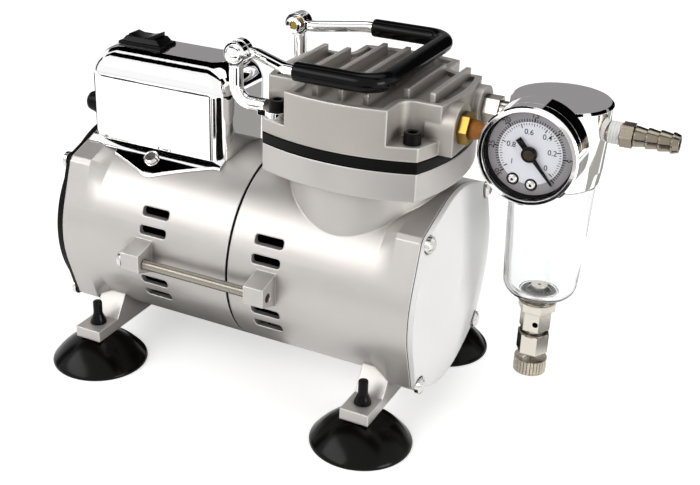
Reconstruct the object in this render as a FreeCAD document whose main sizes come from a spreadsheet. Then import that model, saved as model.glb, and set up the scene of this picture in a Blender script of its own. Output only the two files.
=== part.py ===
import FreeCAD, Part
import math
import os
import re
import Sketcher

# Desk-top oil-free piston vacuum pump: a split cast motor and crankcase housing on four suction
# feet, a finned head with a folding carrying handle, and a moisture trap with a vacuum gauge.
# X runs along the motor shaft from the seam between the two housing halves, and the side with
# the cylinder, the trap and the hose barb is +X. Y is across the pump, with the gauge on -Y.
# Z is up. In the sizes, x starts at the seam and z starts at the motor shaft. Each finished
# sub-part is then moved so that the origin is on the floor, under the middle of the pump.

V = FreeCAD.Vector
doc = FreeCAD.newDocument("VacuumPump")

SIZES = {
    # Housing tube, seam and end flanges
    "axis_height": 66.5,
    "housing_radius": 50.0,
    "housing_wall": 3.0,
    "rear_length": 99.0,
    "front_length": 95.2,
    "seam_width": 1.4,
    "seam_recess": 0.5,
    "ear_half": 39.4,
    "ear_chamfer": 0.07,
    "ear_length": 12.0,
    "ear_taper": 8.0,
    "cover_screw_half": 36.8,
    "cover_screw_radius": 2.0,
    "pan_head_radius": 4.1,
    "pan_head_height": 3.2,
    "screw_clearance": 0.2,
    "cover_screw_length": 12.0,
    "cover_screw_lift": 0.1,
    # End covers
    "rear_cover_thickness": 2.2,
    "rear_cover_raise": 1.6,
    "rear_cover_raise_radius": 49.6,
    "rear_vent_inner": 20.0,
    "rear_vent_outer": 36.0,
    "rear_vent_width": 5.0,
    "cover_gasket": 0.4,
    "gasket_inset": 0.3,
    "cover_rim": 1.6,
    "cover_crown": 4.5,
    "cover_recess": 2.0,
    # Cooling slots in the housing sides
    "rear_slot_start": 35.8,
    "front_slot_start": 12.8,
    "slot_length": 15.8,
    "slot_height": 4.6,
    "slot_first": 13.8,
    "slot_pitch": 8.8,
    "slot_corner": 1.7,
    # Side lugs and the tie screws that pull the halves together
    "lug_reach": 62.0,
    "lug_top": 6.0,
    "lug_bottom": 3.2,
    "lug_root_top": 10.5,
    "lug_root_bottom": 9.5,
    "lug_length": 10.6,
    "rear_lug_start": 43.3,
    "front_lug_start": 16.5,
    "tie_y": 57.0,
    "tie_radius": 2.4,
    "tie_end_gap": 3.0,
    "tie_head_radius": 4.5,
    "tie_head_height": 3.2,
    # Feet
    "foot_rear_x": 77.8,
    "foot_front_x": 76.2,
    "foot_y": 52.1,
    "tab_half": 7.3,
    "tab_reach": 61.6,
    "tab_thickness": 5.8,
    "tab_top": 45.0,
    "gusset_y": 45.2,
    "gusset_root_y": 36.2,
    "gusset_root_z": 31.3,
    "arm_inner_y": 10.0,
    "cup_radius": 24.9,
    "cup_lip": 1.6,
    "cup_wall": 2.4,
    "cup_neck_radius": 7.5,
    "stem_radius": 2.4,
    "stem_flare_radius": 4.2,
    "stem_height": 12.5,
    "stem_flare_height": 5.0,
    "stem_hole_radius": 3.4,
    # Cylinder neck, flange and the plates on it
    "head_setback": 43.4,
    "neck_radius": 39.0,
    "flange_bottom": 56.1,
    "flange_height": 13.2,
    "head_half": 38.4,
    "head_bulge": 46.0,
    "head_corner": 2.5,
    "gasket_thickness": 0.8,
    "valve_plate_thickness": 4.2,
    "sleeve_outer": 27.5,
    "sleeve_bore": 24.0,
    "sleeve_length": 36.0,
    "reed_thickness": 0.4,
    "reed_width": 9.0,
    "reed_length": 18.0,
    "reed_port_radius": 3.0,
    # Head
    "notch_floor": 6.4,
    "plateau_height": 20.4,
    "rim_height": 2.0,
    "rim_width": 3.0,
    "notch_inner": 25.0,
    "notch_corner": 6.0,
    "fin_height": 6.0,
    "fin_thickness": 2.4,
    "fin_pitch": 12.35,
    "fin_half_long": 38.0,
    "fin_half_short": 22.0,
    "chamber_depth": 11.0,
    "chamber_half": 22.0,
    "head_screw_half": 33.5,
    "head_screw_radius": 2.5,
    "socket_head_radius": 4.0,
    "socket_head_height": 5.2,
    "head_screw_length": 22.0,
    "port_y": 15.0,
    "port_z": 86.0,
    "port_radius": 4.8,
    "port_depth": 16.0,
    "port_passage_radius": 2.0,
    "port_passage_drop": 2.5,
    "port_boss_half": 10.5,
    "port_boss_reach": 49.2,
    # Motor
    "stator_outer_clearance": 0.1,
    "stator_setback": 4.0,
    "stator_length": 26.0,
    "stator_bore": 24.0,
    "slot_depth": 12.0,
    "winding_overhang": 9.0,
    "winding_inner": 27.0,
    "winding_outer": 40.0,
    "air_gap": 0.4,
    "shaft_radius": 4.0,
    "bearing_outer": 11.0,
    "bearing_width": 7.0,
    "running_gap": 0.05,
    "bulkhead_start": 32.0,
    "bulkhead_thickness": 5.0,
    "bearing_boss": 15.0,
    "fan_radius": 41.0,
    "fan_start": 5.0,
    "fan_length": 18.0,
    "fan_hub": 9.0,
    # Crank, rod and piston
    "crank_throw": 3.0,
    "crank_disc_radius": 17.0,
    "crank_disc_length": 5.0,
    "crank_pin_length": 9.0,
    "rod_eye_radius": 14.5,
    "rod_width": 9.0,
    "rod_shank_half": 5.0,
    "piston_radius": 20.5,
    "piston_thickness": 3.0,
    "piston_top_gap": 1.0,
    "cup_seal_thickness": 0.8,
    "cup_seal_lip": 2.5,
    "cup_seal_gap": 0.3,
    "clamp_radius": 17.5,
    "clamp_thickness": 2.0,
    "clamp_screw_length": 9.0,
    # Handle and its posts
    "pivot_setback": 56.4,
    "pivot_z": 107.3,
    "post_y": 31.6,
    "post_radius": 3.3,
    "post_bend": 8.0,
    "post_foot_thickness": 3.0,
    "eye_radius": 5.5,
    "arm_eye_radius": 5.8,
    "post_eye_half": 2.0,
    "arm_eye_half": 1.8,
    "eye_gap": 0.3,
    "pivot_pin_radius": 2.2,
    "pin_clearance": 0.06,
    "handle_rod_radius": 2.7,
    "handle_spread": 41.4,
    "handle_flare_reach": 32.6,
    "handle_reach": 75.9,
    "handle_bend": 10.0,
    "grip_radius": 4.4,
    "grip_start_reach": 35.8,
    # Switch and capacitor box
    "box_x": -58.1,
    "box_half_length": 41.1,
    "box_half_depth": 22.0,
    "box_top": 93.0,
    "box_edge": 14.0,
    "box_corner": 9.0,
    "box_wall": 1.2,
    "lip_half_depth": 24.9,
    "lip_end": 1.4,
    "flap_rear": 33.0,
    "flap_front": 36.0,
    "flap_tip_x": 2.6,
    "flap_tip_half": 1.6,
    "flap_screw_x": 1.1,
    "flap_depth": 20.0,
    "flap_angle": 47.0,
    "flap_screw_angle": 57.5,
    "flap_screw_radius": 1.5,
    "flap_screw_head": 3.8,
    "flap_screw_height": 1.8,
    "flap_screw_length": 5.5,
    "box_seat_gap": 0.2,
    "switch_x": -76.5,
    "switch_half_length": 12.9,
    "switch_half_width": 7.4,
    "switch_shoulder": 2.2,
    "bezel_height": 1.4,
    "switch_depth": 16.0,
    "rocker_half_length": 7.2,
    "rocker_half_width": 5.3,
    "rocker_height": 4.2,
    "rocker_dish": 2.2,
    "rocker_tilt": 6.0,
    "rocker_gap": 0.7,
    "rocker_pivot_radius": 0.8,
    "relief_y": -12.0,
    "relief_z": 61.2,
    "relief_radius": 6.3,
    "relief_reach": 6.2,
    "capacitor_radius": 12.0,
    "capacitor_length": 52.0,
    # Exhaust silencer
    "silencer_hex": 13.0,
    "silencer_hex_length": 4.5,
    "cone_radius": 4.6,
    "cone_tip_radius": 2.4,
    "cone_length": 7.2,
    "thread_length": 8.0,
    # Moisture trap
    "trap_x": 136.0,
    "trap_y": 15.0,
    "trap_top": 97.2,
    "trap_top_radius": 22.8,
    "trap_bottom": 58.5,
    "trap_bottom_radius": 20.6,
    "trap_edge": 1.2,
    "trap_skirt": 8.0,
    "nipple_hex": 12.0,
    "nipple_hex_length": 7.5,
    "cavity_radius": 15.0,
    "cavity_roof": 7.2,
    "bowl_top": 67.0,
    "bowl_top_radius": 18.7,
    "bowl_shoulder_radius": 19.5,
    "bowl_bottom_radius": 17.5,
    "bowl_dome": 6.0,
    "bowl_base": -0.6,
    "bowl_skirt": 2.2,
    "bowl_wall": 2.2,
    "bowl_socket_gap": 0.08,
    "bowl_seal_height": 1.0,
    "bowl_base_radius": 9.7,
    "drain_bore": 2.0,
    "filter_radius": 9.0,
    "filter_wall": 2.5,
    "filter_length": 20.0,
    "filter_plate": 1.5,
    "filter_rod_radius": 2.0,
    # Bleed valve under the bowl
    "ring_radius": 8.9,
    "ring_height": 2.6,
    "ring_nut_radius": 8.0,
    "ring_nut_height": 5.9,
    "valve_hex": 13.2,
    "valve_hex_height": 10.5,
    "valve_neck_radius": 5.6,
    "valve_neck_height": 2.7,
    "lock_hex": 13.6,
    "lock_height": 10.1,
    "bleed_hole_radius": 1.4,
    "knob_radius": 8.0,
    "knob_height": 7.3,
    "knob_gap": 3.9,
    "knob_stem_radius": 2.0,
    # Hose barb
    "barb_thread_end": 164.2,
    "barb_thread_radius": 4.6,
    "barb_hex": 10.0,
    "barb_hex_length": 5.2,
    "barb_tip": 189.0,
    "barb_radius": 4.7,
    "barb_root": 3.9,
    "barb_bore": 2.4,
    "barb_z": 85.5,
    "barb_count": 4,
    "barb_first": 0.5,
    "barb_pitch": 5.3,
    "barb_crest": 0.8,
    # Gauge
    "gauge_z": 84.6,
    "gauge_front": 32.0,
    "gauge_depth": 17.4,
    "gauge_radius": 22.0,
    "bezel_lip": 2.4,
    "case_radius": 22.0,
    "case_wall": 1.2,
    "bezel_length": 6.0,
    "lens_thickness": 1.6,
    "lens_recess": 0.8,
    "dial_depth": 5.5,
    "dial_thickness": 0.6,
    "gauge_stem_radius": 4.8,
    "needle_hub": 3.4,
    "needle_length": 16.2,
    "needle_tail": 8.2,
    "needle_thickness": 0.7,
    "needle_angle": -48.0,
    "dial_screw_radius": 2.0,
    "dial_screw_ring": 14.1,
    "dial_screw_spread": 18.0,
    "dial_turn": -10.0,
}

sheet = doc.addObject("Spreadsheet::Sheet", "sizes")
for row, (name, number) in enumerate(SIZES.items(), start=1):
    sheet.set(f"A{row}", name)
    sheet.set(f"B{row}", str(number))
    sheet.setAlias(f"B{row}", name)
doc.recompute()

# Places along X that follow the length of the housing half they belong to
PLACES = {
    "head_x": "(front_length - head_setback)",
    "pivot_x": "(front_length - head_setback - pivot_setback)",
    "stator_start": "(rear_length - stator_length - winding_overhang - stator_setback)",
}
NAMES = re.compile(r"\b(" + "|".join(sorted(SIZES, key=len, reverse=True)) + r")\b")
parts = []


def bind(text):
    """The same expression with each size name read from the sheet."""
    text = str(text)
    for place, expression in PLACES.items():
        text = re.sub(rf"\b{place}\b", expression, text)
    return NAMES.sub(r"sizes.\1", text)


def value(text):
    """The number that an expression of sizes gives now."""
    return float(sheet.evalExpression(bind(text)))


def point(x, y, z=0):
    return V(value(x), value(y), value(z))


# Places that several sub-parts share, as expressions of the sizes
FLANGE_TOP = "(flange_bottom + flange_height)"
PLATE_BOTTOM = f"({FLANGE_TOP} + gasket_thickness)"
PLATE_TOP = f"({PLATE_BOTTOM} + valve_plate_thickness)"
HEAD_BOTTOM = f"({PLATE_TOP} + gasket_thickness)"
NOTCH_Z = f"({HEAD_BOTTOM} + notch_floor)"
PLATEAU_Z = f"({HEAD_BOTTOM} + plateau_height)"
RIM_Z = f"({PLATEAU_Z} + rim_height)"
HOUSING_BORE = "(housing_radius - housing_wall)"
BOSS_FACE = "(head_x + port_boss_reach)"
COVER_FACE = "(front_length + cover_gasket + cover_rim)"
REAR_REACH = "(box_half_length - box_x + relief_reach)"
FRAME_X = f"({REAR_REACH} - barb_tip) / 2"


def seat(obj, label, x=0, y=0, z=0, rotation=None):
    """Names a finished sub-part and puts its local origin at a point measured from the seam."""
    obj.Label = label
    obj.Placement = FreeCAD.Placement(V(0, 0, 0), rotation or FreeCAD.Rotation())
    obj.setExpression("Placement.Base.x", bind(f"{FRAME_X} + {x}"))
    obj.setExpression("Placement.Base.y", bind(f"{y}"))
    obj.setExpression("Placement.Base.z", bind(f"axis_height + {z}"))
    parts.append(obj)
    return obj


def new_body(name):
    return doc.addObject("PartDesign::Body", name)


def origin_plane(body, role):
    return next(item for item in body.Origin.OriginFeatures if item.Role == role)


def sketch_on(body, name, role, offset, tilt=0):
    """An empty sketch on an origin plane of the body, moved along its normal or tilted about its X."""
    sketch = body.newObject("Sketcher::SketchObject", name)
    sketch.AttachmentSupport = [(origin_plane(body, role), "")]
    sketch.MapMode = "FlatFace"
    if tilt:
        sketch.AttachmentOffset = FreeCAD.Placement(V(0, 0, 0), FreeCAD.Rotation(V(1, 0, 0), 10))
        sketch.setExpression("AttachmentOffset.Rotation.Angle", bind(tilt))
    else:
        sketch.setExpression("AttachmentOffset.Base.z", bind(offset))
    return sketch


def hold(sketch, kind, places, text):
    """A dimension whose size is an expression of the sheet."""
    number = sketch.addConstraint(Sketcher.Constraint(kind, *places, value(text)))
    sketch.setExpression(f"Constraints[{number}]", bind(text))


def add_loop(sketch, corners):
    """A closed outline. A corner is (x, y), or (x, y, mid_x, mid_y, radius) if an arc leaves it."""
    first = sketch.GeometryCount
    ends = [V(value(c[0]), value(c[1]), 0) for c in corners]
    starts = []
    for place, corner in enumerate(corners):
        here = ends[place]
        there = ends[(place + 1) % len(corners)]
        if len(corner) == 2:
            sketch.addGeometry(Part.LineSegment(here, there), False)
            starts.append(1)
        else:
            middle = V(value(corner[2]), value(corner[3]), 0)
            sketch.addGeometry(Part.Arc(here, middle, there), False)
            turn = (middle - here).cross(there - middle).z
            starts.append(1 if turn > 0 else 2)
    for place, corner in enumerate(corners):
        after = (place + 1) % len(corners)
        sketch.addConstraint(Sketcher.Constraint(
            "Coincident", first + place, 3 - starts[place], first + after, starts[after]))
        hold(sketch, "DistanceX", (-1, 1, first + place, starts[place]), corner[0])
        hold(sketch, "DistanceY", (-1, 1, first + place, starts[place]), corner[1])
        if len(corner) > 2:
            hold(sketch, "Radius", (first + place,), corner[4])


def add_circle(sketch, x, y, radius):
    number = sketch.addGeometry(Part.Circle(point(x, y), V(0, 0, 1), value(radius)), False)
    hold(sketch, "DistanceX", (-1, 1, number, 3), x)
    hold(sketch, "DistanceY", (-1, 1, number, 3), y)
    hold(sketch, "Radius", (number,), radius)


def feature(body, kind, name, sketch, length=None, backwards=False, both=False, through=False):
    """A Pad or Pocket of one sketch."""
    made = body.newObject(f"PartDesign::{kind}", name)
    made.Profile = sketch
    if length is not None:
        made.setExpression("Length", bind(length))
    if through:
        made.Type = 1
    made.Reversed = backwards
    made.Midplane = both
    sketch.Visibility = False
    return made


def pad(body, name, role, offset, loops=(), circles=(), length="1", backwards=False):
    sketch = sketch_on(body, f"{name}_sketch", role, offset)
    for loop in loops:
        add_loop(sketch, loop)
    for circle in circles:
        add_circle(sketch, *circle)
    return feature(body, "Pad", name, sketch, length, backwards)


def pocket(body, name, role, offset, loops=(), circles=(), length=None, backwards=False, both=False,
           tilt=0):
    sketch = sketch_on(body, f"{name}_sketch", role, offset, tilt)
    for loop in loops:
        add_loop(sketch, loop)
    for circle in circles:
        add_circle(sketch, *circle)
    return feature(body, "Pocket", name, sketch, length, backwards, both, through=length is None)


def turn(body, name, loop, axis="V_Axis", kind="Revolution"):
    """A full turn of an outline in the XZ plane, about its Z axis or, with H_Axis, its X axis."""
    sketch = sketch_on(body, f"{name}_sketch", "XZ_Plane", "0")
    add_loop(sketch, loop)
    made = body.newObject(f"PartDesign::{kind}", name)
    made.Profile = sketch
    made.ReferenceAxis = (sketch, [axis])
    made.Angle = 360
    sketch.Visibility = False
    return made


def box_loop(left, right, low, high):
    return [(left, low), (right, low), (right, high), (left, high)]


def round_box_loop(left, right, low, high, corner):
    """A rectangle with rounded corners."""
    cut = f"({corner} * (1 - sqrt(0.5)))"
    return [
        (f"{left} + {corner}", low),
        (f"{right} - {corner}", low, f"{right} - {cut}", f"{low} + {cut}", corner),
        (right, f"{low} + {corner}"),
        (right, f"{high} - {corner}", f"{right} - {cut}", f"{high} - {cut}", corner),
        (f"{right} - {corner}", high),
        (f"{left} + {corner}", high, f"{left} + {cut}", f"{high} - {cut}", corner),
        (left, f"{high} - {corner}"),
        (left, f"{low} + {corner}", f"{left} + {cut}", f"{low} + {cut}", corner),
    ]


def bulged_square(half, bulge, x="0", y="0"):
    """Four equal arcs between the corners of a square, each standing out to the bulge."""
    half, bulge = f"({half})", f"({bulge})"
    rise = f"({bulge} - {half})"
    radius = f"(({half} * {half} + {rise} * {rise}) / (2 * {rise}))"
    return [
        (f"{x} - {half}", f"{y} - {half}", x, f"{y} - {bulge}", radius),
        (f"{x} + {half}", f"{y} - {half}", f"{x} + {bulge}", y, radius),
        (f"{x} + {half}", f"{y} + {half}", x, f"{y} + {bulge}", radius),
        (f"{x} - {half}", f"{y} + {half}", f"{x} - {bulge}", y, radius),
    ]


def quarter_turns(points):
    """The points of one quarter, turned on by 90 degrees three times."""
    around = []
    for turned in (lambda y, z: (y, z), lambda y, z: (f"-{z}", y), lambda y, z: (f"-{y}", f"-{z}"),
                   lambda y, z: (z, f"-{y}")):
        around.extend(turned(y, z) for y, z in points)
    return [(y.replace("--", ""), z.replace("--", "")) for y, z in around]


def ear_points(half, radius):
    """One quarter of the eared outline: the two ends of its arc, then the two ends of its corner cut."""
    share = f"({radius} * {radius} / (2 * {half} * {half}))"
    rise = f"sqrt({share} - {share} * {share})"
    far = f"({half} * ({share} + {rise}))"
    near = f"({half} * ({share} - {rise}))"
    out = f"({half} + ear_chamfer * ({far} - {half}))"
    back = f"({half} - ear_chamfer * ({half} - {near}))"
    return [(far, f"-{near}"), (far, near), (out, back), (back, out)]


def eared_outline(half, radius):
    """A circle with four ears: straight sides leave it at a tangent and end in a cut corner."""
    middles = quarter_turns([(radius, "0")])
    loop = []
    for place, (y, z) in enumerate(quarter_turns(ear_points(f"({half})", f"({radius})"))):
        middle = middles[place // 4]
        loop.append((y, z) + middle + (radius,) if place % 4 == 0 else (y, z))
    return loop


def eared_circle(half, radius):
    """A circle in as many arcs as the eared outline has sides, each end in line with an ear point."""
    ends = []
    for y, z in ear_points(f"({half})", f"({radius})"):
        reach = f"sqrt({y} * {y} + {z} * {z})"
        ends.append((f"({radius} * {y} / {reach})", f"({radius} * {z} / {reach})"))
    ends = quarter_turns(ends)
    loop = []
    for place, (y, z) in enumerate(ends):
        next_y, next_z = ends[(place + 1) % len(ends)]
        length = f"sqrt(({y} + {next_y}) ^ 2 + ({z} + {next_z}) ^ 2)"
        loop.append((y, z, f"{radius} * ({y} + {next_y}) / {length}",
                     f"{radius} * ({z} + {next_z}) / {length}", radius))
    return loop


def finished_fillet(body, name, radius, test):
    """Rounds every edge of the body so far that the test picks."""
    doc.recompute()
    base = body.Tip
    picked = [f"Edge{n}" for n, edge in enumerate(base.Shape.Edges, start=1) if test(edge)]
    made = body.newObject("PartDesign::Fillet", name)
    made.Base = (base, picked)
    made.setExpression("Radius", bind(radius))
    return made


def solid_group(label, shapes):
    """Several separate solids of one kind, as one sub-part."""
    made = doc.addObject("Part::Feature", label)
    made.Shape = Part.makeCompound(shapes)
    return seat(made, label)


def turned_solid(profile, base, axis):
    """A solid of revolution from (distance along the axis, radius) pairs, starting at base."""
    line = V(*axis)
    side = V(0, 0, 1) if abs(line.z) < 0.5 else V(1, 0, 0)
    corners = [base + line * along + side * radius for along, radius in profile]
    wire = Part.makePolygon(corners + [corners[0]])
    return Part.Face(wire).revolve(base, line, 360)


def hexagon_solid(across_flats, length, base, axis, turn_angle=0):
    """A hexagonal bar from a base point along an axis."""
    corner = across_flats / math.sqrt(3)
    points = [V(corner * math.cos(math.radians(60 * k)), corner * math.sin(math.radians(60 * k)), 0)
              for k in range(7)]
    bar = Part.Face(Part.makePolygon(points)).extrude(V(0, 0, length))
    bar.rotate(V(0, 0, 0), V(0, 0, 1), turn_angle)
    bar.Placement = FreeCAD.Placement(base, FreeCAD.Rotation(V(0, 0, 1), V(*axis))).multiply(bar.Placement)
    return bar


def side_slots(start):
    """Four rounded cooling slots, two above and two below the side lug, in the XZ plane."""
    loops = []
    for sign in ("", "-"):
        for step in range(2):
            middle = f"{sign}(slot_first + {step} * slot_pitch)"
            loops.append(round_box_loop(f"({start})", f"({start} + slot_length)",
                                        f"({middle} - slot_height / 2)", f"({middle} + slot_height / 2)",
                                        "slot_corner"))
    return loops


def mirrored_pair(corners):
    """One outline on -Y and the same one on +Y, in the YZ plane."""
    left = [(f"-({y})", z) for y, z in corners]
    return [left, list(corners)]


LUG = [
    ("housing_radius - 2 * housing_wall", "lug_root_top"),
    ("housing_radius - 2 * housing_wall", "-lug_root_bottom"),
    ("lug_reach", "-lug_bottom"),
    ("lug_reach", "lug_top"),
]
ARM = [
    ("tab_reach", "-tab_top"),
    ("tab_reach", "-(tab_top + tab_thickness)"),
    ("arm_inner_y", "-(tab_top + tab_thickness)"),
    ("arm_inner_y", "-(housing_radius - 2 * housing_wall)"),
    ("gusset_root_y", "-gusset_root_z"),
    ("gusset_y", "-tab_top"),
]


def housing_shell(body, end, seam, toward_seam, foot_x, lug_start):
    """The outside of one housing half: end flange with four ears, tube, lugs and foot arms."""
    backwards = toward_seam < 0
    step = "+" if toward_seam > 0 else "-"
    ears = eared_outline("ear_half", "housing_radius")
    pad(body, "end_flange", "YZ_Plane", end, [ears], length="ear_length", backwards=backwards)
    wide = sketch_on(body, "ear_end", "YZ_Plane", f"{end} {step} ear_length")
    add_loop(wide, ears)
    narrow = sketch_on(body, "ear_root", "YZ_Plane", f"{end} {step} (ear_length + ear_taper)")
    add_loop(narrow, eared_circle("ear_half", "housing_radius"))
    taper = body.newObject("PartDesign::AdditiveLoft", "ear_taper")
    taper.Profile = wide
    taper.Sections = [narrow]
    wide.Visibility = narrow.Visibility = False
    pad(body, "tube", "YZ_Plane", f"{end} {step} (ear_length + ear_taper)",
        circles=[("0", "0", "housing_radius")],
        length=f"abs({seam} - ({end})) - ear_length - ear_taper", backwards=backwards)
    pad(body, "lugs", "YZ_Plane", lug_start, mirrored_pair(LUG), length="lug_length")
    pad(body, "foot_arms", "YZ_Plane", f"{foot_x} - tab_half", mirrored_pair(ARM), length="2 * tab_half")


def housing_holes(body, end, inward, foot_x, slot_start, lug_start, tie_hole):
    """Slots, tie screw holes, foot stem holes and the four cover screw holes of a housing half."""
    pocket(body, "cooling_slots", "XZ_Plane", "0", side_slots(slot_start),
           length="2 * housing_radius + 10", both=True)
    pocket(body, "tie_holes", "YZ_Plane", f"{lug_start} - 1",
           circles=[("-tie_y", "0", tie_hole), ("tie_y", "0", tie_hole)],
           length="lug_length + 2", backwards=True)
    pocket(body, "stem_holes", "XY_Plane", "-(tab_top - 1)",
           circles=[(foot_x, "-foot_y", "stem_hole_radius"), (foot_x, "foot_y", "stem_hole_radius")],
           length="tab_thickness + 2")
    corners = [(f"{y}cover_screw_half", f"{z}cover_screw_half", "cover_screw_radius")
               for y in ("", "-") for z in ("", "-")]
    pocket(body, "cover_screw_holes", "YZ_Plane", end, circles=corners,
           length="cover_screw_length", backwards=inward)


# The rear half of the housing: cast aluminium tube that holds the motor
rear = new_body("rear_housing")
housing_shell(rear, "-rear_length", "-seam_width / 2", 1, "-foot_rear_x", "-(rear_lug_start + lug_length)")
pocket(rear, "motor_bore", "YZ_Plane", "-rear_length", circles=[("0", "0", HOUSING_BORE)],
       length="rear_length", backwards=True)
housing_holes(rear, "-rear_length", True, "-foot_rear_x", "-(rear_slot_start + slot_length)",
              "-(rear_lug_start + lug_length)", "tie_radius + screw_clearance")
for side in (-1, 1):
    pocket(rear, f"box_screw_hole_{side + 2}", "XY_Plane", "0",
           circles=[("box_x + flap_screw_x", "0", "flap_screw_radius")],
           length="housing_radius + 10", backwards=True, tilt=f"{-side} * (90 - flap_screw_angle)")
seat(rear, "rear_housing")

# The front half: crankcase tube, bulkhead for the front bearing, cylinder neck and flange
front = new_body("front_housing")
housing_shell(front, "front_length", "seam_width / 2", -1, "foot_front_x", "front_lug_start")
pad(front, "neck", "XY_Plane", "housing_wall", circles=[("head_x", "0", "neck_radius")],
    length="flange_bottom - housing_wall")
pad(front, "flange", "XY_Plane", "flange_bottom",
    [bulged_square("head_half", "head_bulge", x="head_x")], length="flange_height")
pocket(front, "motor_bore", "YZ_Plane", "0", circles=[("0", "0", HOUSING_BORE)],
       length="bulkhead_start", backwards=True)
pocket(front, "crank_chamber", "YZ_Plane", "front_length", circles=[("0", "0", HOUSING_BORE)],
       length="front_length - bulkhead_start - bulkhead_thickness")
pad(front, "bearing_boss", "YZ_Plane", "bulkhead_start + bulkhead_thickness - bearing_width - 2",
    circles=[("0", "0", "bearing_boss")], length="bearing_width + 2")
pocket(front, "bearing_seat", "YZ_Plane", "bulkhead_start + bulkhead_thickness - bearing_width",
       circles=[("0", "0", "bearing_outer")], length="bearing_width + 1", backwards=True)
pocket(front, "shaft_hole", "YZ_Plane", "bulkhead_start - bearing_width",
       circles=[("0", "0", "shaft_radius + 2")], length="bearing_width + 2", backwards=True)
pocket(front, "sleeve_seat", "XY_Plane", FLANGE_TOP,
       circles=[("head_x", "0", "sleeve_outer")], length=f"{FLANGE_TOP} - housing_wall")
stud_holes = [(f"head_x {x} head_screw_half", f"{y}head_screw_half", "head_screw_radius")
              for x in ("+", "-") for y in ("", "-")]
pocket(front, "stud_holes", "XY_Plane", FLANGE_TOP, circles=stud_holes, length="flange_height")
housing_holes(front, "front_length", False, "foot_front_x", "front_slot_start",
              "front_lug_start", "tie_radius")
seat(front, "front_housing")

# Black rubber seal in the seam between the halves
seal_outer = doc.addObject("Part::Cylinder", "seal_outer")
seal_outer.setExpression("Radius", bind("housing_radius - seam_recess"))
seal_outer.setExpression("Height", bind("seam_width"))
seal_inner = doc.addObject("Part::Cylinder", "seal_inner")
seal_inner.setExpression("Radius", bind(HOUSING_BORE))
seal_inner.setExpression("Height", bind("seam_width"))
seam_seal = doc.addObject("Part::Cut", "seam_seal")
seam_seal.Base = seal_outer
seam_seal.Tool = seal_inner
seat(seam_seal, "seam_seal", x="-seam_width / 2", rotation=FreeCAD.Rotation(V(0, 1, 0), 90))

# Black rear end cover: vent slots round the rear bearing's seat
cover_holes = [(f"{y}cover_screw_half", f"{z}cover_screw_half", "cover_screw_radius + screw_clearance")
               for y in ("", "-") for z in ("", "-")]
rear_cover = new_body("rear_cover")
pad(rear_cover, "plate", "YZ_Plane", "-(rear_length + rear_cover_thickness)",
    [eared_outline("ear_half", "housing_radius")], length="rear_cover_thickness")
pad(rear_cover, "raised_disc", "YZ_Plane", "-(rear_length + rear_cover_thickness + rear_cover_raise)",
    circles=[("0", "0", "rear_cover_raise_radius")], length="rear_cover_raise")
pocket(rear_cover, "screw_seats", "YZ_Plane", "-(rear_length + rear_cover_thickness)",
       circles=[(y, z, "pan_head_radius + 2 * screw_clearance") for y, z, hole in cover_holes],
       length="rear_cover_raise + 1")
pad(rear_cover, "bearing_boss", "YZ_Plane", "-rear_length", circles=[("0", "0", "bearing_boss")],
    length="bearing_width + 1")
pocket(rear_cover, "bearing_seat", "YZ_Plane", "-rear_length + 1", circles=[("0", "0", "bearing_outer")],
       length="bearing_width + 1", backwards=True)
pocket(rear_cover, "screw_holes", "YZ_Plane", "-rear_length", circles=cover_holes,
       length="rear_cover_thickness + rear_cover_raise + 1")
vent = pocket(rear_cover, "vent_slot", "YZ_Plane", "-rear_length",
              [round_box_loop("rear_vent_inner", "rear_vent_outer", "-rear_vent_width / 2",
                              "rear_vent_width / 2", "slot_corner")],
              length="rear_cover_thickness + rear_cover_raise + 1")
vents = rear_cover.newObject("PartDesign::PolarPattern", "vent_ring")
vents.Originals = [vent]
vents.Axis = (origin_plane(rear_cover, "X_Axis"), [""])
vents.Angle = 360
vents.Occurrences = 10
rear_cover.Tip = vents
seat(rear_cover, "rear_cover")

# Black paper gasket behind the crankcase cover
cover_gasket = new_body("cover_gasket")
pad(cover_gasket, "sheet", "YZ_Plane", "front_length",
    [eared_outline("ear_half - gasket_inset", "housing_radius - gasket_inset")], length="cover_gasket")
pocket(cover_gasket, "middle", "YZ_Plane", "front_length - 1",
       circles=[("0", "0", HOUSING_BORE)], length="cover_gasket + 2", backwards=True)
pocket(cover_gasket, "screw_holes", "YZ_Plane", "front_length - 1", circles=cover_holes,
       length="cover_gasket + 2", backwards=True)
seat(cover_gasket, "cover_gasket")

# Domed crankcase cover: the outline of the ears cut down to a shallow sphere
front_cover = new_body("front_cover")
pad(front_cover, "blank", "YZ_Plane", "front_length + cover_gasket",
    [eared_outline("ear_half", "housing_radius")], length="cover_rim + cover_crown")
CROWN_X = f"({COVER_FACE} + cover_crown)"
RIM_REACH = "(ear_half * sqrt(2))"
DOME = f"(({RIM_REACH} * {RIM_REACH} + cover_crown * cover_crown) / (2 * cover_crown))"
turn(front_cover, "dome", [
    (CROWN_X, "0", f"{CROWN_X} - {DOME} + sqrt({DOME} * {DOME} - {RIM_REACH} * {RIM_REACH} / 4)",
     f"{RIM_REACH} / 2", DOME),
    (COVER_FACE, RIM_REACH),
    (f"{COVER_FACE}", f"{RIM_REACH} + 6"),
    (f"{CROWN_X} + 2", f"{RIM_REACH} + 6"),
    (f"{CROWN_X} + 2", "0"),
], axis="H_Axis", kind="Groove")
pocket(front_cover, "back_recess", "YZ_Plane", "front_length + cover_gasket",
       circles=[("0", "0", f"{HOUSING_BORE} - 3")], length="cover_recess", backwards=True)
pocket(front_cover, "screw_holes", "YZ_Plane", "front_length", circles=cover_holes,
       length="cover_rim + cover_crown + 2", backwards=True)
pocket(front_cover, "screw_seats", "YZ_Plane", CROWN_X,
       circles=[(y, z, "pan_head_radius + 2 * screw_clearance") for y, z, hole in cover_holes],
       length="cover_crown - cover_screw_lift")
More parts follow.
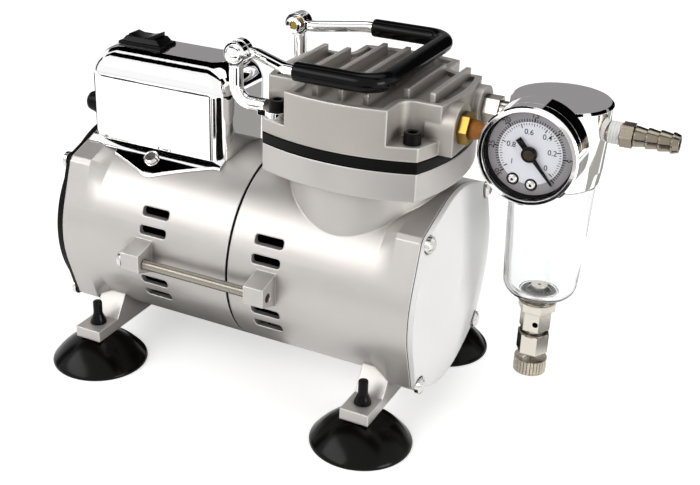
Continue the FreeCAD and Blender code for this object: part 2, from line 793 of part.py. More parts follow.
seat(front_cover, "front_cover")


def pan_screw(base, axis, head_radius, head_height, shank_radius, shank_length):
    """A pan head screw: its head starts at the base point and the shank goes back from it."""
    bevel = head_height * 0.35
    return turned_solid([
        (-shank_length, 0), (-shank_length, shank_radius), (0, shank_radius), (0, head_radius),
        (head_height - bevel, head_radius), (head_height, head_radius - 1.6 * bevel), (head_height, 0),
    ], base, axis)


def corner_places(half):
    return [(y * half, z * half) for y in (-1, 1) for z in (-1, 1)]


screw_half = value("cover_screw_half")
screw_depth = value("cover_screw_length") - 1
cover_ends = [(value(f"{COVER_FACE} + cover_screw_lift"), 1),
              (-value("rear_length + rear_cover_thickness"), -1)]
solid_group("cover_screws", [
    pan_screw(V(x, y, z), (out, 0, 0), value("pan_head_radius"),
              value("pan_head_height"), value("cover_screw_radius"), screw_depth)
    for x, out in cover_ends for y, z in corner_places(screw_half)])

# Long steel screws that pull the two halves together, one on each side
tie_start = -value("rear_lug_start + lug_length")
tie_length = value("rear_lug_start + lug_length + front_lug_start + lug_length - tie_end_gap")
solid_group("tie_screws", [
    pan_screw(V(tie_start, side * value("tie_y"), 0), (-1, 0, 0), value("tie_head_radius"),
              value("tie_head_height"), value("tie_radius"), tie_length)
    for side in (-1, 1)])

# Suction feet: one black rubber moulding each, its stem pushed up through the foot tab
floor = -value("axis_height")
tab_low = -value("tab_top + tab_thickness")
tab_high = -value("tab_top")
cup, lip, wall = value("cup_radius"), value("cup_lip"), value("cup_wall")
neck, stem = value("cup_neck_radius"), value("stem_radius")
flare, hole = value("stem_flare_radius"), value("stem_hole_radius")


def suction_foot(x, y):
    """Dome over a hollow, neck in the tab's hole, then a flare that locks it and a pull stem."""
    rise = tab_low - floor
    outer = [V(cup, 0, lip), V(cup * 0.78, 0, rise * 0.62), V(neck, 0, rise - 0.6)]
    inner = [V(cup - wall * 0.7, 0, 0), V(cup * 0.70, 0, rise * 0.42), V(0, 0, rise * 0.62)]
    edges = [
        Part.Arc(*outer).toShape(),
        Part.makePolygon([
            V(neck, 0, rise - 0.6), V(neck, 0, rise), V(hole - 0.1, 0, rise),
            V(hole - 0.1, 0, tab_high - floor), V(flare, 0, tab_high - floor),
            V(flare, 0, tab_high - floor + 1.2), V(stem, 0, tab_high - floor + value("stem_flare_height")),
            V(stem, 0, tab_high - floor + value("stem_height") - 0.6),
            V(stem - 0.6, 0, tab_high - floor + value("stem_height")),
            V(0, 0, tab_high - floor + value("stem_height")), V(0, 0, rise * 0.62)]),
        Part.Arc(*reversed(inner)).toShape(),
        Part.makePolygon([inner[0], V(cup, 0, 0), V(cup, 0, lip)]),
    ]
    loose = []
    for edge in edges:
        loose.extend(edge.Edges)
    wire = Part.Wire(Part.__sortEdges__(loose))
    foot = Part.Face(wire).revolve(V(0, 0, 0), V(0, 0, 1), 360)
    foot.translate(V(x, y, floor))
    return foot


solid_group("suction_feet", [
    suction_foot(x, side * value("foot_y"))
    for x in (-value("foot_rear_x"), value("foot_front_x")) for side in (-1, 1)])

# Motor: stator core pressed into the rear half, its windings, and the two ball bearings
stator = new_body("stator_core")
pad(stator, "stack", "YZ_Plane", "-(stator_start + stator_length)",
    circles=[("0", "0", f"{HOUSING_BORE} - stator_outer_clearance"), ("0", "0", "stator_bore")],
    length="stator_length")
winding_slot = pocket(stator, "winding_slot", "YZ_Plane", "-(stator_start + stator_length)",
                      [box_loop("stator_bore + 2", "stator_bore + 2 + slot_depth", "-3.5", "3.5")],
                      length="stator_length", backwards=True)
slot_ring = stator.newObject("PartDesign::PolarPattern", "slot_ring")
slot_ring.Originals = [winding_slot]
slot_ring.Axis = (origin_plane(stator, "X_Axis"), [""])
slot_ring.Angle = 360
slot_ring.Occurrences = 12
stator.Tip = slot_ring
seat(stator, "stator_core")

winding_shapes = []
for start in ("-(stator_start + stator_length + winding_overhang)", "-stator_start"):
    ring = Part.makeCylinder(value("winding_outer"), value("winding_overhang"), V(value(start), 0, 0),
                             V(1, 0, 0))
    winding_shapes.append(ring.cut(Part.makeCylinder(
        value("winding_inner"), value("winding_overhang"), V(value(start), 0, 0), V(1, 0, 0))))
solid_group("stator_windings", winding_shapes)


def bearing(start):
    """A small ball bearing, drawn as its two rings and closed between them."""
    outer, inner = value("bearing_outer"), value("shaft_radius + running_gap")
    width, base = value("bearing_width"), value(start)
    return turned_solid([
        (0, inner), (0, inner + 2), (0.6, inner + 2), (0.6, outer - 2), (0, outer - 2), (0, outer),
        (width, outer), (width, outer - 2), (width - 0.6, outer - 2), (width - 0.6, inner + 2),
        (width, inner + 2), (width, inner)], V(base, 0, 0), (1, 0, 0))


solid_group("shaft_bearings", [bearing("-rear_length + 1"),
                               bearing("bulkhead_start + bulkhead_thickness - bearing_width")])

# Rotor: one shaft with the laminated core, the fan and the crank disc with its offset pin
PIN_START = "(head_x - crank_pin_length / 2)"
CRANK_START = f"({PIN_START} - crank_disc_length)"
shaft_shape = Part.makeCylinder(value("shaft_radius"), value(f"rear_length - 1 + {CRANK_START}"),
                                V(value("-rear_length + 1"), 0, 0), V(1, 0, 0))
solid_group("shaft", [shaft_shape])

rotor_core = new_body("rotor_core")
pad(rotor_core, "stack", "YZ_Plane", "-(stator_start + stator_length)",
    circles=[("0", "0", "stator_bore - air_gap"), ("0", "0", "shaft_radius")], length="stator_length")
seat(rotor_core, "rotor_core")

fan = new_body("cooling_fan")
pad(fan, "hub", "YZ_Plane", "fan_start", circles=[("0", "0", "fan_hub"), ("0", "0", "shaft_radius")],
    length="fan_length")
pad(fan, "disc", "YZ_Plane", "fan_start", circles=[("0", "0", "fan_radius"), ("0", "0", "fan_hub - 1")],
    length="1.6")
blade = pad(fan, "blade", "YZ_Plane", "fan_start", [box_loop("fan_hub - 1", "fan_radius", "-0.9", "0.9")],
            length="fan_length")
blades = fan.newObject("PartDesign::PolarPattern", "blade_ring")
blades.Originals = [blade]
blades.Axis = (origin_plane(fan, "X_Axis"), [""])
blades.Angle = 360
blades.Occurrences = 8
fan.Tip = blades
seat(fan, "cooling_fan")

crank = new_body("crank")
pad(crank, "disc", "YZ_Plane", CRANK_START, circles=[("0", "0", "crank_disc_radius")],
    length="crank_disc_length")
pad(crank, "pin", "YZ_Plane", PIN_START, circles=[("0", "crank_throw", "shaft_radius")],
    length="crank_pin_length")
pocket(crank, "balance_cut", "YZ_Plane", CRANK_START,
       [box_loop("-crank_disc_radius", "crank_disc_radius", "crank_throw + shaft_radius + 3",
                 "crank_disc_radius + 1")], length="crank_disc_length", backwards=True)
seat(crank, "crank")

# Wobble rod: bearing on the crank pin, rod and piston in one, cup seal held by a screwed clamp
PISTON_TOP = f"({FLANGE_TOP} - piston_top_gap)"
PISTON_Z = f"({PISTON_TOP} - clamp_thickness - cup_seal_thickness - piston_thickness)"
rod_bearing_shape = turned_solid([
    (0, value("shaft_radius + running_gap")), (0, value("bearing_outer")),
    (value("bearing_width"), value("bearing_outer")),
    (value("bearing_width"), value("shaft_radius + running_gap"))],
    point("head_x - bearing_width / 2", "0", "crank_throw"), (1, 0, 0))
solid_group("rod_bearing", [rod_bearing_shape])

rod = new_body("connecting_rod")
pad(rod, "eye", "YZ_Plane", "head_x - rod_width / 2", circles=[("0", "crank_throw", "rod_eye_radius")],
    length="rod_width")
pad(rod, "shank", "YZ_Plane", "head_x - rod_width / 2",
    [box_loop("-rod_shank_half", "rod_shank_half", "crank_throw", PISTON_Z)], length="rod_width")
pad(rod, "piston", "XY_Plane", PISTON_Z, circles=[("head_x", "0", "piston_radius")],
    length="piston_thickness")
pocket(rod, "bearing_seat", "YZ_Plane", "head_x - rod_width / 2 - 1",
       circles=[("0", "crank_throw", "bearing_outer")], length="rod_width + 2", backwards=True)
pocket(rod, "clamp_screw_hole", "XY_Plane", f"{PISTON_Z} + piston_thickness",
       circles=[("head_x", "0", "cover_screw_radius")], length="piston_thickness + 6")
seat(rod, "connecting_rod")

cup_seal_profile = [
    (0, value("cover_screw_radius")), (0, value("sleeve_bore - cup_seal_gap - cup_seal_thickness")),
    (value("cup_seal_lip"), value("sleeve_bore - cup_seal_gap - cup_seal_thickness")),
    (value("cup_seal_lip"), value("sleeve_bore - cup_seal_gap")), (-value("cup_seal_thickness"),
                                                                  value("sleeve_bore - cup_seal_gap")),
    (-value("cup_seal_thickness"), value("cover_screw_radius"))]
solid_group("cup_seal", [turned_solid(
    cup_seal_profile, point("head_x", "0", f"{PISTON_Z} + piston_thickness + cup_seal_thickness"), (0, 0, 1))])
clamp_base = point("head_x", "0", f"{PISTON_Z} + piston_thickness + cup_seal_thickness")
solid_group("seal_clamp", [turned_solid([
    (-value("clamp_screw_length"), 0), (-value("clamp_screw_length"), value("cover_screw_radius")),
    (0, value("cover_screw_radius")),
    (0, value("clamp_radius")), (value("clamp_thickness"), value("clamp_radius")),
    (value("clamp_thickness"), 0)], clamp_base, (0, 0, 1))])

# Cylinder sleeve, hung in the neck
sleeve = new_body("cylinder_sleeve")
pad(sleeve, "tube", "XY_Plane", FLANGE_TOP,
    circles=[("head_x", "0", "sleeve_outer - 0.05"), ("head_x", "0", "sleeve_bore")],
    length="sleeve_length", backwards=True)
seat(sleeve, "cylinder_sleeve")


def head_sheet(label, bottom, thickness, middle_hole):
    """A flat plate or gasket with the head's outline, its four stud holes and its middle cut out."""
    body = new_body(label)
    pad(body, "sheet", "XY_Plane", bottom,
        [bulged_square("head_half", "head_bulge", x="head_x")], length=thickness)
    holes = [(f"head_x {x} head_screw_half", f"{y}head_screw_half", "head_screw_radius + screw_clearance")
             for x in ("+", "-") for y in ("", "-")]
    pocket(body, "stud_holes", "XY_Plane", f"{bottom} - 1", circles=holes,
           length=f"{thickness} + 2", backwards=True)
    pocket(body, "middle", "XY_Plane", f"{bottom} - 1", circles=middle_hole,
           length=f"{thickness} + 2", backwards=True)
    return seat(body, label)


head_sheet("cylinder_gasket", FLANGE_TOP, "gasket_thickness", [("head_x", "0", "sleeve_bore")])
head_sheet("valve_plate", PLATE_BOTTOM, "valve_plate_thickness",
           [("head_x", "-chamber_half / 2 - 1", "reed_port_radius"),
            ("head_x", "chamber_half / 2 + 1", "reed_port_radius")])
head_sheet("head_gasket", PLATE_TOP, "gasket_thickness",
           [("head_x", "-(chamber_half / 2 + 2)", "chamber_half / 2"),
            ("head_x", "chamber_half / 2 + 2", "chamber_half / 2")])


def reed(z, side):
    """A spring steel strip that lies over one port of the valve plate."""
    half = value("reed_width") / 2
    middle = side * value("chamber_half / 2 + 1")
    return Part.makeBox(value("reed_length"), 2 * half, value("reed_thickness"),
                        V(value("head_x - reed_length / 2"), middle - half, z))


# Reeds: one over the outlet port and one under the inlet port
solid_group("valve_reeds", [reed(value(PLATE_TOP), -1), reed(value(f"{PLATE_BOTTOM} - reed_thickness"), 1)])


def notched_outline(inset):
    """The head's outline with a square notch at each corner, drawn in from the edge by the inset."""
    rise = "(head_bulge - head_half)"
    radius = f"((head_half * head_half + {rise} * {rise}) / (2 * {rise}) - {inset})"
    bulge = f"(head_bulge - {inset})"
    edge = f"(notch_inner - {inset})"
    reach = f"({bulge} - {radius} + sqrt({radius} * {radius} - {edge} * {edge}))"
    corner = f"(notch_corner + {inset})"
    start = f"({edge} + {corner})"
    middle = f"({start} - {corner} * sqrt(0.5))"
    x = "head_x"
    return [
        (f"{x} + {reach}", f"-{edge}", f"{x} + {bulge}", "0", radius),
        (f"{x} + {reach}", edge),
        (f"{x} + {start}", edge, f"{x} + {middle}", middle, corner),
        (f"{x} + {edge}", start),
        (f"{x} + {edge}", reach, x, bulge, radius),
        (f"{x} - {edge}", reach),
        (f"{x} - {edge}", start, f"{x} - {middle}", middle, corner),
        (f"{x} - {start}", edge),
        (f"{x} - {reach}", edge, f"{x} - {bulge}", "0", radius),
        (f"{x} - {reach}", f"-{edge}"),
        (f"{x} - {start}", f"-{edge}", f"{x} - {middle}", f"-{middle}", corner),
        (f"{x} - {edge}", f"-{start}"),
        (f"{x} - {edge}", f"-{reach}", x, f"-{bulge}", radius),
        (f"{x} + {edge}", f"-{reach}"),
        (f"{x} + {edge}", f"-{start}", f"{x} + {middle}", f"-{middle}", corner),
        (f"{x} + {start}", f"-{edge}"),
    ]


# Cast cylinder head: a bulged block with corner notches, a rim, seven fins and two port bosses
head = new_body("cylinder_head")
pad(head, "base", "XY_Plane", HEAD_BOTTOM,
    [bulged_square("head_half", "head_bulge", x="head_x")], length="notch_floor")
pad(head, "block", "XY_Plane", f"{NOTCH_Z} - 1", [notched_outline("0")],
    length="plateau_height + rim_height - notch_floor + 1")
pocket(head, "inside_rim", "XY_Plane", RIM_Z, [notched_outline("rim_width")], length="rim_height")
for side in (-1, 1):
    pad(head, f"port_boss_{side + 2}", "YZ_Plane", BOSS_FACE, [[
        (f"{side} * port_y - port_boss_half", HEAD_BOTTOM),
        (f"{side} * port_y + port_boss_half", HEAD_BOTTOM),
        (f"{side} * port_y + port_boss_half", "port_z", f"{side} * port_y + port_boss_half * sqrt(0.5)",
         "port_z + port_boss_half * sqrt(0.5)", "port_boss_half"),
        (f"{side} * port_y", "port_z + port_boss_half", f"{side} * port_y - port_boss_half * sqrt(0.5)",
         "port_z + port_boss_half * sqrt(0.5)", "port_boss_half"),
        (f"{side} * port_y - port_boss_half", "port_z"),
    ]], length="port_boss_reach - head_half + rim_width", backwards=True)
for step in range(-3, 4):
    half = "fin_half_long" if abs(step) < 2 else "fin_half_short"
    place = f"(head_x + {step} * fin_pitch)"
    pad(head, f"fin_{step + 4}", "XY_Plane", f"{PLATEAU_Z} - 1",
        [box_loop(f"{place} - fin_thickness / 2", f"{place} + fin_thickness / 2", f"-{half}", half)],
        length="fin_height + 1")
ports = [("-port_y", "port_z", "port_radius"), ("port_y", "port_z", "port_radius")]
passages = [(y, "port_z - port_passage_drop", "port_passage_radius") for y in ("-port_y", "port_y")]
pocket(head, "ports", "YZ_Plane", BOSS_FACE, circles=ports, length="port_depth")
pocket(head, "passages", "YZ_Plane", BOSS_FACE, circles=passages,
       length="port_boss_reach - chamber_half / 4")
pocket(head, "chambers", "XY_Plane", HEAD_BOTTOM,
       circles=[("head_x", "-(chamber_half / 2 + 2)", "chamber_half / 2"),
                ("head_x", "chamber_half / 2 + 2", "chamber_half / 2")],
       length="chamber_depth", backwards=True)
pocket(head, "stud_holes", "XY_Plane", f"{NOTCH_Z} + 1",
       circles=[(f"head_x {x} head_screw_half", f"{y}head_screw_half", "head_screw_radius + screw_clearance")
                for x in ("+", "-") for y in ("", "-")], length="notch_floor + 2")
seat(head, "cylinder_head")

# Socket head screws of the cylinder head: the two on -X also hold the handle posts
screw_radius, cap_radius = value("head_screw_radius"), value("socket_head_radius")
cap_height, screw_length = value("socket_head_height"), value("head_screw_length")


def socket_screw(base):
    """A cap screw with a hexagon socket, its head standing on the base point."""
    body = turned_solid([
        (-screw_length, 0), (-screw_length, screw_radius), (0, screw_radius), (0, cap_radius),
        (cap_height - 0.4, cap_radius), (cap_height, cap_radius - 0.4), (cap_height, 0)], base, (0, 0, 1))
    socket = hexagon_solid(screw_radius * 1.6, cap_height / 2, base + V(0, 0, cap_height / 2), (0, 0, 1))
    return body.cut(socket)


def head_corner(x_side, y_side, z):
    return point(f"head_x + {x_side} * head_screw_half", f"{y_side} * head_screw_half", z)


solid_group("head_screws", [
    socket_screw(head_corner(x_side, y_side, NOTCH_Z if x_side > 0 else f"{NOTCH_Z} + post_foot_thickness"))
    for x_side in (1, -1) for y_side in (-1, 1)])


def bent_path(corners, radii):
    """A path through the corners with each inner corner rounded by its own radius."""
    pieces = []
    start = corners[0]
    for before, corner, after, radius in zip(corners, corners[1:], corners[2:], radii):
        back = (before - corner).normalize()
        ahead = (after - corner).normalize()
        half = back.getAngle(ahead) / 2
        reach = radius / math.tan(half)
        centre = corner + (back + ahead).normalize() * (radius / math.sin(half))
        first, last = corner + back * reach, corner + ahead * reach
        middle = centre + (corner - centre).normalize() * radius
        pieces.append(Part.makeLine(start, first))
        pieces.append(Part.Arc(first, middle, last).toShape())
        start = last
    pieces.append(Part.makeLine(start, corners[-1]))
    return Part.Wire(pieces)


def swept_rod(path, radius):
    start = path.Vertexes[0].Point
    first = path.Edges[0]
    circle = Part.Wire(Part.makeCircle(radius, start, first.tangentAt(first.FirstParameter)))
    return path.makePipeShell([circle], True, True)


# Handle posts: chrome rods, each with a flattened foot under a head screw and an eye on top
pivot_x, pivot_z = value("pivot_x"), value("pivot_z")
post_y, post_radius = value("post_y"), value("post_radius")
foot_z = value(NOTCH_Z)
foot_high = value("post_foot_thickness")
screw_x = value("head_x - head_screw_half")


def eye(x, y, z, half, hole):
    """A flat round eye across Y with a hole for the pivot pin."""
    ring = Part.makeCylinder(value("arm_eye_radius"), 2 * half, V(x, y - half, z), V(0, 1, 0))
    return ring.cut(Part.makeCylinder(hole, 2 * half, V(x, y - half, z), V(0, 1, 0)))


def handle_post(side):
    y = side * post_y
    screw_y = side * value("head_screw_half")
    foot = Part.makeCylinder(value("eye_radius"), foot_high, V(screw_x, screw_y, foot_z))
    tongue_start = pivot_x + value("post_bend") + 6
    foot = foot.fuse(Part.makeBox(screw_x - tongue_start, 2 * value("socket_head_radius"), foot_high,
                                  V(tongue_start, min(y, screw_y) - value("socket_head_radius") + 1,
                                    foot_z)))
    foot = foot.cut(Part.makeCylinder(value("head_screw_radius + screw_clearance"), foot_high + 2,
                                      V(screw_x, screw_y, foot_z - 1)))
    rod_z = foot_z + post_radius
    path = bent_path([V(tongue_start + 2, y, rod_z), V(pivot_x, y, rod_z), V(pivot_x, y, pivot_z)],
                     [value("post_bend")])
    bar = swept_rod(path, post_radius)
    pin = Part.makeCylinder(value("pivot_pin_radius"), 20, V(pivot_x, y - 10, pivot_z), V(0, 1, 0))
    top = Part.makeCylinder(value("eye_radius"), 2 * value("post_eye_half"),
                            V(pivot_x, y - value("post_eye_half"), pivot_z), V(0, 1, 0))
    for trim in (1, -1):
        bar = bar.cut(Part.makeBox(14, 6, value("eye_radius") + 12, V(
            pivot_x - 7, y + trim * (value("post_eye_half") + 3) - 3,
            pivot_z - value("arm_eye_radius + eye_gap"))))
    return foot.fuse(bar).fuse(top).cut(pin)


solid_group("handle_posts", [handle_post(side) for side in (-1, 1)])

# Pivot pins: riveted through a post's eye and the handle's eye inside it
arm_y = value("post_y - post_eye_half - eye_gap - arm_eye_half")
pin_inner = value("post_y - post_eye_half - eye_gap - 2 * arm_eye_half - eye_gap")
pin_outer = value("post_y + post_eye_half")
pins = []
for side in (-1, 1):
    rivet = turned_solid([
        (-1.6, 0), (-1.6, value("pivot_pin_radius") + 1.2), (0, value("pivot_pin_radius") + 1.2),
        (0, value("pivot_pin_radius")), (pin_outer - pin_inner, value("pivot_pin_radius")),
        (pin_outer - pin_inner, 0)], V(pivot_x, side * pin_inner, pivot_z), (0, side, 0))
    cap = hexagon_solid(2 * value("pivot_pin_radius") + 2.4, 2.0, V(pivot_x, side * pin_outer, pivot_z),
                        (0, side, 0))
    dimple = Part.makeCylinder(value("pivot_pin_radius") / 2, 1.2,
                               V(pivot_x, side * (pin_outer + 0.8), pivot_z), V(0, side, 0))
    pins.append(rivet.fuse(cap).cut(dimple))
solid_group("pivot_pins", pins)

# Folding handle: one bent rod with an eye at each end, and a soft sleeve round its outer run
spread = value("handle_spread")
flare = value("pivot_x + handle_flare_reach")
cross_x = value("pivot_x + handle_reach")
bend = value("handle_bend")


def handle_path(start_x, flared):
    """The rod's middle line from one arm round the crossbar to the other arm."""
    front = [V(pivot_x + 3, -arm_y, pivot_z), V(pivot_x + 9, -arm_y, pivot_z), V(flare, -spread, pivot_z)]
    if not flared:
        front = [V(start_x, -spread, pivot_z)]
    corners = front + [V(cross_x, -spread, pivot_z)]
    radii = ([10, 14] if flared else []) + [bend, bend]
    back = [V(c.x, -c.y, c.z) for c in reversed(corners)]
    radii = radii + ([14, 10] if flared else [])
    return bent_path(corners + back, radii)


rod_shape = swept_rod(handle_path(0, True), value("handle_rod_radius"))
pin_hole = value("pivot_pin_radius + pin_clearance")
for side in (-1, 1):
    rod_shape = rod_shape.cut(Part.makeCylinder(
        pin_hole, 12, V(pivot_x, side * arm_y - 6, pivot_z), V(0, 1, 0)))
    for trim in (1, -1):
        rod_shape = rod_shape.cut(Part.makeBox(value("arm_eye_radius") + 4, 6, 14, V(
            pivot_x - 3, side * arm_y + trim * (value("arm_eye_half") + 3) - 3, pivot_z - 7)))
    rod_shape = rod_shape.fuse(eye(pivot_x, side * arm_y, pivot_z, value("arm_eye_half"), pin_hole))
solid_group("handle_bar", [rod_shape.removeSplitter()])
grip_path = handle_path(value("pivot_x + grip_start_reach"), False)
solid_group("handle_grip", [swept_rod(grip_path, value("grip_radius")).cut(
    swept_rod(grip_path, value("handle_rod_radius")))])

# Switch box: a deep drawn chrome cover over the motor, with a screwed V flap on each side
BOX_LEFT = "(box_x - box_half_length)"
BOX_RIGHT = "(box_x + box_half_length)"
BOX_FLOOR = "(housing_radius - box_edge)"


def drawn_box(body, kind, name, shrink):
    """A box with upright sides, its top edge rounded by a loft of shrinking rectangles."""
    prism = "Pad" if kind == "AdditiveLoft" else "Pocket"
    sketches = []
    for step in range(6):
        turned = 18 * step
        inset = f"(box_edge * (1 - cos({turned})) * 0.9)"
        edge = f"({inset} + {shrink})"
        sketch = sketch_on(body, f"{name}_{step}", "XY_Plane",
                           f"box_top - box_edge + box_edge * sin({turned}) - {shrink}")
        add_loop(sketch, round_box_loop(
            f"(box_x - box_half_length + {edge})", f"(box_x + box_half_length - {edge})",
            f"(-box_half_depth + {edge})", f"(box_half_depth - {edge})", f"(box_corner - {inset} * 0.3)"))
        sketch.Visibility = False
        sketches.append(sketch)
    feature(body, prism, f"{name}_sides", sketches[0], f"box_top - box_edge - {BOX_FLOOR}",
            backwards=prism == "Pad")
    made = body.newObject(f"PartDesign::{kind}", name)
    made.Profile = sketches[0]
    made.Sections = sketches[1:]
    return made


box = new_body("switch_box")
for side in (-1, 1):
    pad(box, f"flap_{side + 2}", "XY_Plane", "housing_radius - 22", [[
        (f"{BOX_LEFT} + lip_end", f"{side} * (box_half_depth - 2 * box_wall)"),
        (f"{BOX_RIGHT} - lip_end", f"{side} * (box_half_depth - 2 * box_wall)"),
        (f"{BOX_RIGHT} - lip_end", f"{side} * lip_half_depth"),
        ("box_x + flap_front", f"{side} * lip_half_depth"),
        ("box_x + flap_tip_x + flap_tip_half", f"{side} * (housing_radius + box_wall) * cos(flap_angle)"),
        ("box_x + flap_tip_x - flap_tip_half", f"{side} * (housing_radius + box_wall) * cos(flap_angle)"),
        ("box_x - flap_rear", f"{side} * lip_half_depth"),
        (f"{BOX_LEFT} + lip_end", f"{side} * lip_half_depth"),
    ]], length="flap_depth")
pocket(box, "flap_outside", "YZ_Plane", f"{BOX_LEFT} - 1",
       circles=[("0", "0", "housing_radius + 40"), ("0", "0", "housing_radius + box_seat_gap + box_wall")],
       length="2 * box_half_length + 2", backwards=True)
drawn_box(box, "AdditiveLoft", "outside", "0")
drawn_box(box, "SubtractiveLoft", "inside", "box_wall")
pocket(box, "saddle", "YZ_Plane", f"{BOX_LEFT} - 1",
       circles=[("0", "0", "housing_radius + box_seat_gap")],
       length="2 * box_half_length + 2", backwards=True)
pocket(box, "ear_saddle", "YZ_Plane", f"{BOX_LEFT} - 1",
       [eared_outline("ear_half + box_seat_gap", "housing_radius + box_seat_gap")],
       length=f"-({BOX_LEFT} - 1) - (rear_length - ear_length - ear_taper)", backwards=True)
pocket(box, "switch_hole", "XY_Plane", "box_top + 1",
       [box_loop("switch_x - switch_half_length + 2", "switch_x + switch_half_length - 2",
                 "-switch_half_width + 2", "switch_half_width - 2")], length="box_wall + 6")
pocket(box, "relief_hole", "YZ_Plane", f"{BOX_LEFT} - 1",
       circles=[("relief_y", "relief_z", "relief_radius - 1.8")], length="box_wall + 4", backwards=True)
for side in (-1, 1):
    pocket(box, f"flap_screw_hole_{side + 2}", "XY_Plane", "0",
           circles=[("box_x + flap_screw_x", "0", "flap_screw_radius")],
           length="housing_radius + 10", backwards=True, tilt=f"{-side} * (90 - flap_screw_angle)")
seat(box, "switch_box")

angle = math.radians(value("flap_screw_angle"))
flap_screws = []
for side in (-1, 1):
    outward = V(0, side * math.cos(angle), math.sin(angle))
    lift = value("housing_radius + box_seat_gap + box_wall")
    base = V(value("box_x + flap_screw_x"), 0, 0) + outward * lift
    flap_screws.append(pan_screw(base, tuple(outward), value("flap_screw_head"), value("flap_screw_height"),
                                 value("flap_screw_radius"), value("flap_screw_length")))
solid_group("switch_box_screws", flap_screws)

# Rocker switch: black bezel and housing let into the box top, and the rocker in it
bezel = new_body("switch_housing")
pad(bezel, "flange", "XY_Plane", "box_top",
    [round_box_loop("switch_x - switch_half_length", "switch_x + switch_half_length",
                    "-switch_half_width", "switch_half_width", "slot_corner")], length="bezel_height")
pad(bezel, "collar", "XY_Plane", "box_top",
    [round_box_loop("switch_x - switch_half_length + switch_shoulder",
                    "switch_x + switch_half_length - switch_shoulder",
                    "-switch_half_width + switch_shoulder / 3", "switch_half_width - switch_shoulder / 3",
                    "slot_corner / 2")], length="2 * bezel_height")
pad(bezel, "housing", "XY_Plane", "box_top",
    [box_loop("switch_x - switch_half_length + 2", "switch_x + switch_half_length - 2",
              "-switch_half_width + 2", "switch_half_width - 2")], length="switch_depth", backwards=True)
pocket(bezel, "well", "XY_Plane", "box_top + 2 * bezel_height",
       [box_loop("switch_x - rocker_half_length - rocker_gap", "switch_x + rocker_half_length + rocker_gap",
                 "-rocker_half_width - rocker_gap", "rocker_half_width + rocker_gap")],
       length="2 * bezel_height + switch_depth - 5")
seat(bezel, "switch_housing")

rocker = new_body("rocker")
ROCKER_Z = "(box_top + 2 * bezel_height - 2)"
tilt = "rocker_tilt"
paddle = [("-rocker_half_length", "rocker_height"), ("0", "rocker_dish"), ("rocker_half_length", "rocker_height"),
          ("rocker_half_length - 2.5", "-6"), ("-rocker_half_length + 2.5", "-6")]
rocker_sketch = sketch_on(rocker, "paddle_sketch", "XZ_Plane", "rocker_half_width")
add_loop(rocker_sketch, [(f"({x}) * cos({tilt}) - ({z}) * sin({tilt})",
                          f"({x}) * sin({tilt}) + ({z}) * cos({tilt})") for x, z in reversed(paddle)])
feature(rocker, "Pad", "paddle", rocker_sketch, "2 * rocker_half_width", backwards=True)
pocket(rocker, "pivot_bore", "XZ_Plane", "rocker_half_width + 1",
       circles=[("0", "0", "rocker_pivot_radius")], length="2 * rocker_half_width + 2")
seat(rocker, "rocker", x="switch_x", z=ROCKER_Z)

relief_base = point(BOX_LEFT, "relief_y", "relief_z")
relief = value("relief_radius")
relief_reach = value("relief_reach")
solid_group("strain_relief", [turned_solid([
    (-value("box_wall") - 1.5, 0), (-value("box_wall") - 1.5, relief - 1.8), (0, relief - 1.8), (0, relief),
    (1.4, relief), (relief_reach, relief * 0.72), (relief_reach, 1.6), (relief_reach - 2.5, 1.6),
    (relief_reach - 2.5, 0)], relief_base, (-1, 0, 0))])

capacitor_start = value("box_x - capacitor_length / 2 - 6")
solid_group("capacitor", [turned_solid([
    (0, 0), (0, value("capacitor_radius") - 1), (1, value("capacitor_radius")),
    (value("capacitor_length") - 1, value("capacitor_radius")),
    (value("capacitor_length"), value("capacitor_radius") - 1), (value("capacitor_length"), 0)],
    V(capacitor_start, 0, value("housing_radius + capacitor_radius")), (1, 0, 0))])

# Exhaust silencer: brass hexagon screwed into the front port, with a sintered cone
silencer = new_body("silencer_body")


def hexagon_loop(size, x="0", y="0"):
    """A hexagon, its size across flats, with two corners along the sketch's X."""
    corner = f"({size} / sqrt(3))"
    half = f"({size} / 2)"
    return [
        (f"{x} - {corner}", y), (f"{x} - {corner} / 2", f"{y} - {half}"),
        (f"{x} + {corner} / 2", f"{y} - {half}"), (f"{x} + {corner}", y),
        (f"{x} + {corner} / 2", f"{y} + {half}"), (f"{x} - {corner} / 2", f"{y} + {half}"),
    ]


pad(silencer, "thread", "YZ_Plane", f"{BOSS_FACE} - thread_length",
    circles=[("-port_y", "port_z", "port_radius")], length="thread_length + 1")
pad(silencer, "hexagon", "YZ_Plane", BOSS_FACE, [hexagon_loop("silencer_hex", "-port_y", "port_z")],
    length="silencer_hex_length")
pocket(silencer, "bore", "YZ_Plane", f"{BOSS_FACE} + silencer_hex_length",
       circles=[("-port_y", "port_z", "barb_bore")], length="silencer_hex_length + thread_length + 1")
seat(silencer, "silencer_body")
cone, tip, cone_length = value("cone_radius"), value("cone_tip_radius"), value("cone_length")
solid_group("silencer_element", [turned_solid([
    (0, value("barb_bore")), (0, cone), (cone_length * 0.35, cone * 0.96), (cone_length * 0.8, tip * 1.25),
    (cone_length, tip * 0.6), (cone_length, 0), (cone_length - 2, 0), (1.5, value("barb_bore"))],
    point(f"{BOSS_FACE} + silencer_hex_length", "-port_y", "port_z"), (1, 0, 0))])

